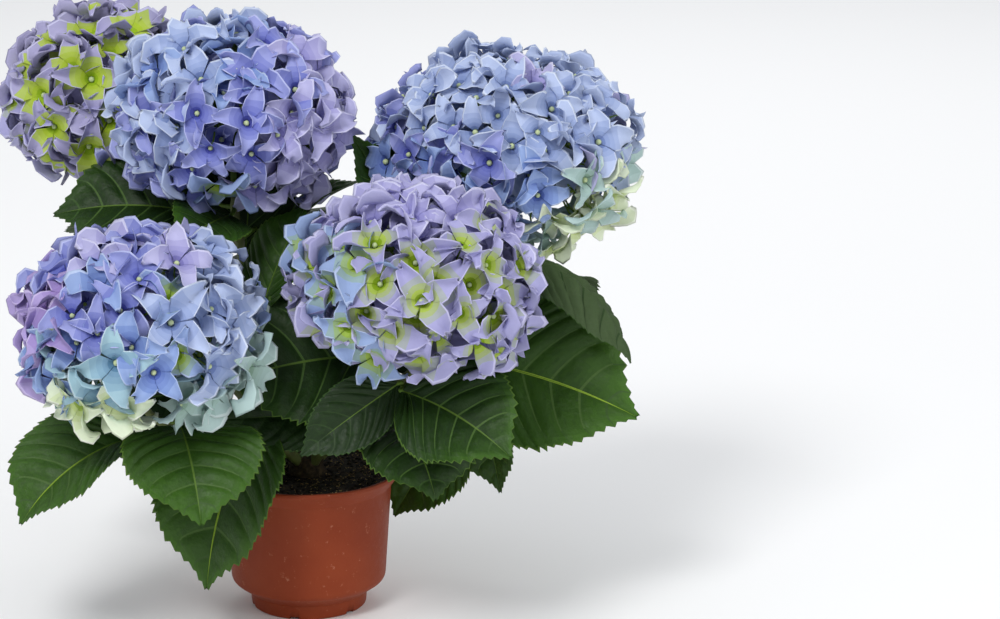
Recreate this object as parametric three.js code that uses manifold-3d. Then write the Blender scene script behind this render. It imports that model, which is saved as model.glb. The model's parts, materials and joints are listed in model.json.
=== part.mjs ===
// Hydrangea shrub with five mophead blooms, in its nursery pot.
// Millimetres, +Z up. The origin is the middle of the pot's flat underside,
// the front of the plant faces -Y and its right side lies along +X.

import * as THREE from 'three';
import Module from 'manifold-3d';
import { mergeVertices } from 'three/addons/utils/BufferGeometryUtils.js';

const wasm = await Module();
wasm.setup();

// ---------------------------------------------------------------- sizes

const GAP = 0.3;                // clear space between two pieces that touch

const POT = {
  sides: 32,
  wall: 1.8,
  floor: 2.2,                   // thickness of the bottom
  slope: 1.4,                   // how far the inner skin lies above the outer on a slope
  round: 1,                     // small step in radius at a soft corner
  footRadius: 42,
  footHeight: 10.5,
  ledgeTop: 19.5,
  wallFootRadius: 56.5,
  bandFoot: 92,
  wallTopRadius: 61.5,
  rimRadius: 69.5,
  height: 105,
};
const SLOT = { count: 2, width: 9, low: 12.5, high: 19.5, phase: -0.033 };
const NOTCH = { count: 6, width: 7, depth: 5, height: 2, phase: 0.3 };

const SOIL = { sides: 20, top: 99, roughness: 1.6, crown: 0.6, flatRadius: 20 };

const STEM = { footRadius: 14, neckRadius: 12.8, topRadius: 10, height: 17, sides: 12 };

// Canes start in a ring on the stem's top, `bury` deep, and end `reach` up inside the bloom.
const CANE = {
  ring: 9,
  footRadius: 4.2,
  tipRadius: 2.6,
  steps: 8,
  sides: 7,
  bury: 6,
  rise: 45,
  reach: 12,
};

// One mophead for each cane: the middle of the head, its half width and half height.
const BLOOMS = {
  front_left: { centre: [-109, -98, 238], wide: 90, tall: 71, foot: 234 },
  front_right: { centre: [83, -90, 268], wide: 88, tall: 71, foot: 306 },
  top: { centre: [-51, 20, 363], wide: 88, tall: 71, foot: 90 },
  right: { centre: [144, 38, 335], wide: 100, tall: 76, foot: 18 },
  back_left: { centre: [-153, 120, 354], wide: 74, tall: 69, foot: 162 },
};
const BLOOM = { detail: 3, lump: 0.035, lumps: 3.1, flatUnder: 0.9 };

const LEAF = {
  stalkRadius: 2,
  thickness: 6,
  tipThickness: 2,
  tipHalf: 1.2,
  fold: 12,
  stalkSteps: [0.04, 0.5],
  stations: [0, 0.1, 0.3, 0.55, 0.8, 1],
};

// Leaf masses. `at` is how far up the cane the leaf sits, `bearing` the way it points
// (degrees from +X towards +Y), `stalk` the length of its stalk and `rise` the stalk's slope.
// `pitch` is the slope of the blade where it starts, `droop` how much the slope falls by the
// tip, `turn` how far the blade is rolled about its midrib, `swing` how far it bears off the
// stalk, and `fold` how far its two halves are lifted.
const LEAVES = {
  // on the front left cane
  left_low: { on: 'front_left', at: 0.65, bearing: 199, stalk: 44, rise: 0, length: 102,
    width: 88, pitch: -8, droop: 48, swing: 6, turn: -16, fold: 20 },
  under_front_left: { on: 'front_left', at: 0.88, bearing: 340, stalk: 20, rise: -8, length: 88,
    width: 97, pitch: -10, droop: 54, swing: -54 },
  pot_front_left: { on: 'front_left', at: 0.25, bearing: 262, stalk: 31, rise: 50, length: 130,
    width: 102, pitch: -38, droop: 44, swing: -24 },
  pot_left: { on: 'front_left', at: 0.5, bearing: 130, stalk: 30, rise: 0, length: 74,
    width: 52, pitch: -55, droop: 20, swing: 70 },
  front_left_inner: { on: 'front_left', at: 0.2, bearing: 140, stalk: 22, rise: 20, length: 68,
    width: 58, pitch: -4, droop: 40, swing: 20 },

  // on the front right cane
  under_front_right: { on: 'front_right', at: 0.83, bearing: 250, stalk: 12, rise: 0, length: 96,
    width: 88, pitch: -6, droop: 30, swing: 79, turn: 40 },
  rim_front_right: { on: 'front_right', at: 0.54, bearing: 15, stalk: 16, rise: 14, length: 84,
    width: 92, pitch: -14, droop: 42, swing: -80, fold: 6 },
  front_shade: { on: 'front_right', at: 0.5, bearing: 200, stalk: 14, rise: 30, length: 96,
    width: 54, pitch: -2, droop: 0, swing: -14, turn: -62 },
  cane_shade: { on: 'front_right', at: 0.76, bearing: 262, stalk: 16, rise: 50, length: 86,
    width: 48, pitch: -28, droop: 6, swing: -60, turn: -60 },
  middle_front: { on: 'front_right', at: 0.65, bearing: 97, stalk: 45, rise: 38, length: 120,
    width: 108, pitch: 6, droop: 22, swing: 100, turn: -52 },

  // on the right cane
  right_large: { on: 'right', at: 0.5, bearing: 296, stalk: 54, rise: 10, length: 132,
    width: 112, pitch: -6, droop: 20, swing: 54, turn: 55 },
  right_drooping: { on: 'right', at: 0.9, bearing: 279, stalk: 48, rise: 12, length: 128,
    width: 52, pitch: 4, droop: 78, swing: 55, fold: -30 },
  right_hanging: { on: 'right', at: 0.5, bearing: 335, stalk: 36, rise: -30, length: 84,
    width: 58, pitch: -52, droop: 22, swing: -30, turn: 75 },
  right_side: { on: 'right', at: 0.45, bearing: 0, stalk: 30, rise: 20, length: 100,
    width: 78, pitch: 0, droop: 35, swing: 24 },
  behind_right: { on: 'right', at: 0.3, bearing: 24, stalk: 66, rise: -18, length: 98,
    width: 70, pitch: -52, droop: 10, swing: 156, turn: -62 },
  upper_middle: { on: 'right', at: 0.62, bearing: 202, stalk: 44, rise: 64, length: 120,
    width: 60, pitch: 66, droop: 10, swing: -27, turn: -45 },
  middle_shade: { on: 'right', at: 0.36, bearing: 50, stalk: 16, rise: 0, length: 98,
    width: 88, pitch: 60, droop: 10, swing: 42 },
  back_right_low: { on: 'right', at: 0.35, bearing: 70, stalk: 30, rise: 15, length: 112,
    width: 90, pitch: 5, droop: 50 },
  back_right: { on: 'right', at: 0.65, bearing: 62, stalk: 30, rise: 10, length: 106,
    width: 86, pitch: 2, droop: 45 },
  back_right_high: { on: 'right', at: 0.85, bearing: 105, stalk: 24, rise: 5, length: 100,
    width: 84, pitch: 4, droop: 35 },
  back_right_side: { on: 'right', at: 0.8, bearing: 48, stalk: 26, rise: -5, length: 90,
    width: 78, pitch: -4, droop: 55 },

  // on the top cane
  under_top: { on: 'top', at: 0.92, bearing: 262, stalk: 16, rise: -6, length: 76,
    width: 58, pitch: 6, droop: 14, swing: -14, turn: -24 },
  upper_left: { on: 'top', at: 0.8, bearing: 160, stalk: 36, rise: 30, length: 108,
    width: 88, pitch: 12, droop: 28, swing: 15, turn: -34 },
  upright_middle: { on: 'top', at: 0.5, bearing: 278, stalk: 47, rise: 27, length: 84,
    width: 62, pitch: 68, droop: 18, swing: 124 },
  top_right: { on: 'top', at: 0.7, bearing: 16, stalk: 26, rise: 44, length: 82,
    width: 50, pitch: 48, droop: 30, swing: -8 },
  back_low: { on: 'top', at: 0.3, bearing: 78, stalk: 34, rise: 15, length: 114,
    width: 92, pitch: 0, droop: 58 },
  back_middle: { on: 'top', at: 0.5, bearing: 92, stalk: 34, rise: 25, length: 110,
    width: 88, pitch: 10, droop: 50 },
  back_high: { on: 'top', at: 0.8, bearing: 62, stalk: 32, rise: 10, length: 106,
    width: 86, pitch: 6, droop: 42 },
  back_centre_high: { on: 'top', at: 0.92, bearing: 120, stalk: 24, rise: -8, length: 92,
    width: 72, pitch: -2, droop: 35 },
  back_left_upper: { on: 'top', at: 0.65, bearing: 108, stalk: 26, rise: 10, length: 92,
    width: 70, pitch: 0, droop: 35 },
  behind_top: { on: 'top', at: 0.68, bearing: 92, stalk: 20, rise: 40, length: 96,
    width: 72, pitch: 64, droop: 10, swing: -8 },

  // on the back left cane
  behind_left: { on: 'back_left', at: 0.35, bearing: 172, stalk: 28, rise: 5, length: 96,
    width: 80, pitch: 0, droop: 40 },
  behind_stem: { on: 'back_left', at: 0.2, bearing: 62, stalk: 20, rise: 0, length: 104,
    width: 84, pitch: 0, droop: 8, swing: -66, turn: 62 },
  behind_cane: { on: 'back_left', at: 0.22, bearing: 118, stalk: 20, rise: 0, length: 92,
    width: 76, pitch: 0, droop: 8, swing: 66, turn: -62 },
  back_left_low: { on: 'back_left', at: 0.2, bearing: 122, stalk: 36, rise: 10, length: 106,
    width: 88, pitch: -4, droop: 55 },
  back_left_inner: { on: 'back_left', at: 0.5, bearing: 100, stalk: 28, rise: 15, length: 106,
    width: 84, pitch: 2, droop: 45 },
  left_sliver: { on: 'back_left', at: 0.6, bearing: 222, stalk: 30, rise: 30, length: 52,
    width: 56, pitch: 24, droop: 14, swing: -42, turn: -20 },
  back_left_outer: { on: 'back_left', at: 0.75, bearing: 105, stalk: 26, rise: 5, length: 98,
    width: 80, pitch: 0, droop: 45 },
  back_left_high: { on: 'back_left', at: 0.8, bearing: 40, stalk: 28, rise: 5, length: 96,
    width: 78, pitch: 0, droop: 35 },
};

// ---------------------------------------------------------------- solids

const radians = THREE.MathUtils.degToRad;

/** Closed manifold solid of a three.js geometry. */
function solidOf(geometry) {
  const bare = geometry.clone();
  bare.deleteAttribute('normal');
  bare.deleteAttribute('uv');
  const merged = mergeVertices(bare, 1e-4);
  const index = merged.index.array;
  const kept = [];
  for (let i = 0; i < index.length; i += 3) {
    const [a, b, c] = [index[i], index[i + 1], index[i + 2]];
    if (a !== b && b !== c && c !== a) kept.push(a, b, c);
  }
  const mesh = new wasm.Mesh({
    numProp: 3,
    vertProperties: new Float32Array(merged.attributes.position.array),
    triVerts: new Uint32Array(kept),
  });
  return new wasm.Manifold(mesh);
}

/** three.js geometry of a manifold solid. */
function geometryOf(solid) {
  const mesh = solid.getMesh();
  const geometry = new THREE.BufferGeometry();
  geometry.setAttribute('position', new THREE.BufferAttribute(mesh.vertProperties, 3));
  geometry.setIndex(new THREE.BufferAttribute(mesh.triVerts, 1));
  geometry.computeVertexNormals();
  return geometry;
}

/** Closed skin over a row of sections, each a ring of the same number of points. */
function loft(sections) {
  const sides = sections[0].length;
  const points = sections.flat();
  const index = [];
  for (let row = 0; row + 1 < sections.length; row += 1) {
    for (let i = 0; i < sides; i += 1) {
      const a = row * sides + i;
      const b = row * sides + ((i + 1) % sides);
      index.push(a, b, b + sides, a, b + sides, a + sides);
    }
  }
  const last = (sections.length - 1) * sides;
  for (let i = 1; i + 1 < sides; i += 1) {
    index.push(0, i + 1, i);
    index.push(last, last + i, last + i + 1);
  }
  const geometry = new THREE.BufferGeometry().setFromPoints(points);
  geometry.setIndex(index);
  return geometry;
}

/** The largest of the separate bodies that a cut may have left. */
function largestBody(solid) {
  const bodies = solid.decompose();
  return bodies.reduce((best, body) => (body.volume() > best.volume() ? body : best));
}

// ---------------------------------------------------------------- pot and soil

/** Thin shell of the pot, turned about Z: foot, ledge, tapering wall and flared rim band. */
function potShell() {
  const p = POT;
  const outer = [
    [0, 0],
    [p.footRadius, 0],
    [p.footRadius + p.round, p.footHeight],
    [p.wallFootRadius - p.round, p.ledgeTop],
    [p.wallFootRadius, p.ledgeTop + p.wall],
    [p.wallTopRadius, p.bandFoot],
    [p.rimRadius, p.height],
  ];
  const inner = [
    [p.rimRadius - p.wall, p.height],
    [p.wallTopRadius - p.wall, p.bandFoot],
    [p.wallFootRadius - p.wall, p.ledgeTop + p.wall + p.slope],
    [p.wallFootRadius - p.wall - p.round, p.ledgeTop + p.slope],
    [p.footRadius - p.wall + p.round, p.footHeight + p.slope],
    [p.footRadius - p.wall, p.floor],
    [0, p.floor],
  ];
  const profile = [...outer, ...inner].map(([r, z]) => new THREE.Vector2(r, z));
  return new THREE.LatheGeometry(profile, p.sides).rotateX(Math.PI / 2);
}

/** Block standing across the ring at `radius`, to cut a slot or a notch. */
function cutter(radius, width, depth, low, high, angle) {
  const block = new THREE.BoxGeometry(depth, width, high - low);
  block.translate(radius, 0, (high + low) / 2);
  block.rotateZ(angle);
  return solidOf(block);
}

/** Pot with its drain slots through the ledge and shallow notches under the foot. */
function makePot() {
  let pot = solidOf(potShell());
  const middle = (POT.footRadius + POT.wallFootRadius) / 2 + 3;
  for (let i = 0; i < SLOT.count; i += 1) {
    const angle = (2 * Math.PI * (i + SLOT.phase)) / SLOT.count;
    pot = pot.subtract(cutter(middle, SLOT.width, 18, SLOT.low, SLOT.high, angle));
  }
  for (let i = 0; i < NOTCH.count; i += 1) {
    const angle = (2 * Math.PI * (i + NOTCH.phase)) / NOTCH.count;
    const radius = POT.footRadius;
    pot = pot.subtract(cutter(radius, NOTCH.width, 2 * NOTCH.depth, -1, NOTCH.height, angle));
  }
  return pot;
}

/** Smooth unevenness between -1 and 1 at a place in space, `grain` being its wavelength. */
function unevenness(x, y, z, grain) {
  const k = (2 * Math.PI) / grain;
  const a = Math.sin(k * (x + 0.37 * z)) * Math.cos(k * (0.83 * y - 0.2 * x));
  const b = Math.sin(k * (0.71 * y + 0.53 * z) + 1.3) * Math.cos(k * (0.9 * z - 0.31 * x));
  return (a + b) / 2;
}

/** Peat filling the pot, its top nearly level with the rim, lumpy but flat at the stem. */
function soilGeometry() {
  const p = POT;
  const facetSag = p.rimRadius * (1 - Math.cos(Math.PI / p.sides));
  const clear = p.wall + GAP + facetSag;
  const band = (SOIL.top - p.bandFoot) / (p.height - p.bandFoot);
  const edge = THREE.MathUtils.lerp(p.wallTopRadius, p.rimRadius, band) - clear - p.round;
  const profile = [
    [0, p.floor + GAP],
    [p.footRadius - clear - GAP, p.floor + GAP],
    [p.footRadius - clear, p.footHeight + p.slope + GAP],
    [p.wallFootRadius - clear - 2 * p.round, p.ledgeTop + p.slope + 2 * GAP],
    [p.wallFootRadius - clear - GAP, p.ledgeTop + p.wall + p.slope + GAP],
    [p.wallTopRadius - clear, p.bandFoot],
    [edge, SOIL.top],
    [edge * 0.86, SOIL.top + SOIL.crown],
    [edge * 0.64, SOIL.top + 0.7 * SOIL.crown],
    [SOIL.flatRadius, SOIL.top],
    [0, SOIL.top],
  ];
  const points = profile.map(([r, z]) => new THREE.Vector2(r, z));
  const geometry = new THREE.LatheGeometry(points, SOIL.sides).rotateX(Math.PI / 2);
  const position = geometry.attributes.position;
  for (let i = 0; i < position.count; i += 1) {
    const [x, y, z] = [position.getX(i), position.getY(i), position.getZ(i)];
    const r = Math.hypot(x, y);
    if (z > SOIL.top - 1 && r > SOIL.flatRadius + 1) {
      const fade = r > edge - 1 ? 0.25 : 1;
      position.setZ(i, z + fade * SOIL.roughness * unevenness(x, y, 0, 31));
    }
  }
  return geometry;
}

// ---------------------------------------------------------------- stem and canes

/** Short woody stem from a flat cut on the soil, flared at its foot, `skin` thicker all round. */
function stemGeometry(skin) {
  const foot = SOIL.top + GAP;
  const top = foot + STEM.height + skin;
  const profile = [
    [0, foot],
    [STEM.footRadius + skin, foot],
    [STEM.neckRadius + skin, foot + 0.35 * STEM.height],
    [STEM.neckRadius + skin, foot + 0.8 * STEM.height],
    [STEM.topRadius + skin, top],
    [0, top],
  ];
  const points = profile.map(([r, z]) => new THREE.Vector2(r, z));
  return new THREE.LatheGeometry(points, STEM.sides).rotateX(Math.PI / 2);
}

/** Centre line of the cane that carries a bloom, from the stem's top into the head. */
function caneLine(bloom) {
  const [x, y, z] = bloom.centre;
  const angle = radians(bloom.foot);
  const start = new THREE.Vector3(
    CANE.ring * Math.cos(angle),
    CANE.ring * Math.sin(angle),
    SOIL.top + STEM.height - CANE.bury,
  );
  const under = z - bloom.tall * BLOOM.flatUnder;
  const first = start.clone().lerp(new THREE.Vector3(x, y, start.z), 0.3);
  first.z += CANE.rise;
  const second = new THREE.Vector3(0.94 * x, 0.94 * y, under - 0.45 * (under - start.z));
  const end = new THREE.Vector3(x, y, under + CANE.reach);
  return new THREE.CubicBezierCurve3(start, first, second, end);
}

/** Cane that carries a bloom: one tapering limb, `skin` thicker all round. */
function caneGeometry(bloom, skin) {
  const line = caneLine(bloom);
  const frames = line.computeFrenetFrames(CANE.steps, false);
  const sections = [];
  for (let step = 0; step <= CANE.steps; step += 1) {
    const t = step / CANE.steps;
    const centre = line.getPointAt(t);
    if (step === CANE.steps) centre.addScaledVector(frames.tangents[step], skin);
    const radius = THREE.MathUtils.lerp(CANE.footRadius, CANE.tipRadius, t) + skin;
    const ring = [];
    for (let i = 0; i < CANE.sides; i += 1) {
      const angle = (2 * Math.PI * i) / CANE.sides;
      const point = centre.clone();
      point.addScaledVector(frames.normals[step], radius * Math.cos(angle));
      point.addScaledVector(frames.binormals[step], radius * Math.sin(angle));
      ring.push(point);
    }
    sections.push(ring);
  }
  return loft(sections);
}

// ---------------------------------------------------------------- blooms

/** Uneven mophead: a ball drawn out sideways, flatter under, with lumps of florets. */
function bloomGeometry(bloom, skin) {
  const [cx, cy, cz] = bloom.centre;
  const geometry = new THREE.IcosahedronGeometry(1, BLOOM.detail);
  const position = geometry.attributes.position;
  const lumps = BLOOM.lumps;
  for (let i = 0; i < position.count; i += 1) {
    const [x, y, z] = [position.getX(i), position.getY(i), position.getZ(i)];
    const lump = 1 + BLOOM.lump * unevenness(x * lumps + cx, y * lumps + cy, z * lumps, 2.9);
    const wide = bloom.wide + skin;
    const tall = (bloom.tall + skin) * (z < 0 ? BLOOM.flatUnder : 1);
    position.setXYZ(i, cx + x * wide * lump, cy + y * wide * lump, cz + z * tall * lump);
  }
  return geometry;
}

// ---------------------------------------------------------------- leaves

/** Half width of a leaf blade at `s` along it, as a part of its greatest half width. */
function bladeShape(s) {
  const body = Math.sin(Math.PI * s ** 0.82) ** 0.78;
  return body * (1 - 0.3 * THREE.MathUtils.smoothstep(s, 0.72, 1));
}

/** Unit vectors along, across and out of a blade that points along `bearing` and `pitch`. */
function bladeAxes(bearing, pitch, turn) {
  const [b, p] = [radians(bearing), radians(pitch)];
  const along = new THREE.Vector3(
    Math.cos(p) * Math.cos(b),
    Math.cos(p) * Math.sin(b),
    Math.sin(p),
  );
  const across = new THREE.Vector3(-Math.sin(b), Math.cos(b), 0);
  const out = along.clone().cross(across);
  const q = radians(turn);
  const side = across.clone().multiplyScalar(Math.cos(q)).addScaledVector(out, Math.sin(q));
  return { along, side, out: along.clone().cross(side) };
}

/** Six-sided section of a leaf, `half` wide each way to a thin edge, lifted at slope `lift`. */
function leafSection(centre, axes, half, thick, lift, skin) {
  const at = (u, w) => {
    const point = centre.clone().addScaledVector(axes.side, u);
    return point.addScaledVector(axes.out, lift * Math.abs(u) + w);
  };
  const outer = half + 3 * skin;
  const inner = 0.4 * half;
  const body = thick / 2 + skin;
  return [
    at(outer, 0),
    at(inner, body),
    at(-inner, body),
    at(-outer, 0),
    at(-inner, -body),
    at(inner, -body),
  ];
}

/** Curve of a leaf stalk: off the cane along one way, into the blade along another. */
function stalkLine(root, base, away, blade) {
  const reach = root.distanceTo(base);
  const first = root.clone().addScaledVector(away, 0.4 * reach);
  const second = base.clone().addScaledVector(blade, -0.35 * reach);
  return new THREE.CubicBezierCurve3(root, first, second, base);
}

/** Axes of a section on the stalk, `t` of the way from the cane to the blade. */
function stalkAxes(line, t, from, to) {
  const along = line.getTangent(t);
  const side = from.side.clone().lerp(to.side, t);
  side.addScaledVector(along, -side.dot(along)).normalize();
  return { along, side, out: along.clone().cross(side) };
}

/** One leaf mass: a stalk off its cane and a thin pad of the blade's outline, `skin` thicker. */
function leafGeometry(leaf, skin) {
  const { turn = 0, swing = 0, fold = LEAF.fold } = leaf;
  const root = caneLine(BLOOMS[leaf.on]).getPointAt(leaf.at);
  const away = bladeAxes(leaf.bearing, leaf.rise, 0);
  const base = root.clone().addScaledVector(away.along, leaf.stalk);
  const start = bladeAxes(leaf.bearing + swing, leaf.pitch, turn);
  const line = stalkLine(root, base, away.along, start.along);
  const r = LEAF.stalkRadius;
  const sections = LEAF.stalkSteps.map((t) => (
    leafSection(line.getPoint(t), stalkAxes(line, t, away, start), r, 1.7 * r, 0, skin)
  ));
  const lift = Math.tan(radians(fold));
  let centre = base;
  let before = 0;
  for (const s of LEAF.stations) {
    const between = leaf.pitch - (leaf.droop * (s + before)) / 2;
    const step = bladeAxes(leaf.bearing + swing, between, turn);
    centre = centre.clone().addScaledVector(step.along, leaf.length * (s - before));
    before = s;
    const half = Math.max(LEAF.tipHalf, (leaf.width / 2) * bladeShape(s));
    const thick = THREE.MathUtils.lerp(LEAF.thickness, LEAF.tipThickness, s ** 2);
    const plane = bladeAxes(leaf.bearing + swing, leaf.pitch - leaf.droop * s, turn);
    sections.push(leafSection(centre, plane, half, thick, lift, skin));
  }
  return loft(sections);
}

// ---------------------------------------------------------------- the plant

const COLOURS = {
  pot: ['#8a4a33', 0.55],
  soil: ['#1d1a12', 0.95],
  stem: ['#5b4a33', 0.85],
  cane: ['#56662f', 0.7],
  bloom: ['#8f98cf', 0.8],
  leaf: ['#2f4a24', 0.55],
};

const plant = new THREE.Group();

function addPiece(name, solid, kind) {
  const [color, roughness] = COLOURS[kind];
  const material = new THREE.MeshStandardMaterial({ color, roughness, metalness: 0 });
  const mesh = new THREE.Mesh(geometryOf(solid), material);
  mesh.name = name;
  plant.add(mesh);
}

addPiece('pot', makePot(), 'pot');
addPiece('potting_soil', solidOf(soilGeometry()), 'soil');

addPiece('short_stem', solidOf(stemGeometry(0)), 'stem');

// What already stands, each in a clear skin, so that the next piece is cut clear of it.
const standing = [solidOf(stemGeometry(GAP))];

/** The shape that `make` gives, cut clear of all that already stands, which it then joins. */
function fitted(make, sizes) {
  let solid = solidOf(make(sizes, 0));
  for (const other of standing) solid = solid.subtract(other);
  standing.push(solidOf(make(sizes, GAP)));
  return largestBody(solid);
}

for (const [name, bloom] of Object.entries(BLOOMS)) {
  addPiece(`cane_${name}`, fitted(caneGeometry, bloom), 'cane');
}
for (const [name, bloom] of Object.entries(BLOOMS)) {
  addPiece(`bloom_${name}`, fitted(bloomGeometry, bloom), 'bloom');
}
for (const [name, leaf] of Object.entries(LEAVES)) {
  addPiece(`leaf_${name}`, fitted(leafGeometry, leaf), 'leaf');
}

export default plant;
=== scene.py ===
# %% [markdown]
# # A hydrangea shrub in its pot
# The plant is a young mophead hydrangea in a terracotta-coloured plastic pot. Five green canes
# leave one short woody stem, each carries broad toothed leaves in pairs and ends in a rounded
# head of florets. The frame holds plain solids for the pot, the peat, the stem, the canes, each
# leaf and each head. Here every one of them gets its real surface, in the same place.

import json
import math

import bpy
import numpy as np
from mathutils import Matrix, Vector

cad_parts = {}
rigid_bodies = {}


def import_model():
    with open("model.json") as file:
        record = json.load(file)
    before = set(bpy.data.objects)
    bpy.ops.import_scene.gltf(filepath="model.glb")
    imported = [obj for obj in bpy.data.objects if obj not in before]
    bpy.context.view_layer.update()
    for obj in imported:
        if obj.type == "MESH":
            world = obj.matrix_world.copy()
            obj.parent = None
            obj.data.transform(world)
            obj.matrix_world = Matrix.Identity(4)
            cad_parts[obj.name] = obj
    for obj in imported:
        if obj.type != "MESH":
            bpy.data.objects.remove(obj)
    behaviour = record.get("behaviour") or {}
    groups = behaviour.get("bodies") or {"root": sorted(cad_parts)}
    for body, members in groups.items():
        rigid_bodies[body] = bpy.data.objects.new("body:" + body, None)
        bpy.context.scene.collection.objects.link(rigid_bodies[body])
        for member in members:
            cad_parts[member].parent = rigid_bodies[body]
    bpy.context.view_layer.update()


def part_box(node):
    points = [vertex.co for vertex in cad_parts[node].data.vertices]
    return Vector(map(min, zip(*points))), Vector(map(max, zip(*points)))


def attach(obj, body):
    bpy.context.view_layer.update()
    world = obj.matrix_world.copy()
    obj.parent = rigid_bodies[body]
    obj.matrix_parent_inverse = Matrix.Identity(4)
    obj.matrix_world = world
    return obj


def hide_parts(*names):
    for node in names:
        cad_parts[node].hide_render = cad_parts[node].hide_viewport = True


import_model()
MM = 0.001
scene = bpy.context.scene

# %% [markdown]
# ## Sizes
# The canes, leaves and heads follow the same few numbers as the frame's solids: where each head
# sits, which cane a leaf grows on, and how the leaf's stalk and blade bear, droop and roll.
# Lengths are in millimetres and angles in degrees, and everything is turned into metres once,
# when a mesh is made.

# %% Sizes of the pot, stem and canes
POT = {
    "wall": 1.8, "floor": 2.2, "foot_radius": 42, "foot_height": 10.5, "ledge_top": 19.5,
    "wall_foot_radius": 56.5, "band_foot": 92, "wall_top_radius": 61.5, "rim_radius": 69.5,
    "height": 105,
}
SLOT = {"count": 2, "width": 9, "low": 12.5, "high": 19.5, "phase": -0.033}
NOTCH = {"count": 6, "width": 7, "depth": 5, "height": 2, "phase": 0.3}
SOIL_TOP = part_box("short_stem")[0][2] / MM - 0.3
STEM = {"foot": 14, "neck": 12.8, "top": 10, "height": 17}
CANE = {"ring": 9, "foot": 4.2, "tip": 2.6, "bury": 6, "rise": 45, "reach": 12}
print("the peat's top is", round(SOIL_TOP, 1), "mm up in a pot", POT["height"], "mm tall")

# %% Sizes of the heads
# name: (middle of the head, half width, half height, bearing of the cane's foot)
BLOOMS = {
    "front_left": ((-109, -98, 238), 90, 71, 234),
    "front_right": ((83, -90, 268), 88, 71, 306),
    "top": ((-51, 20, 363), 88, 71, 90),
    "right": ((144, 38, 335), 100, 76, 18),
    "back_left": ((-153, 120, 354), 74, 69, 162),
}
FLAT_UNDER = 0.9
for head_name, (head_middle, *_rest) in BLOOMS.items():
    low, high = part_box(f"bloom_{head_name}")
    middle = [(a + b) / 2 / MM for a, b in zip(low, high)]
    print(head_name, "head: middle of its solid", [round(v) for v in middle], head_middle)

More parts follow.
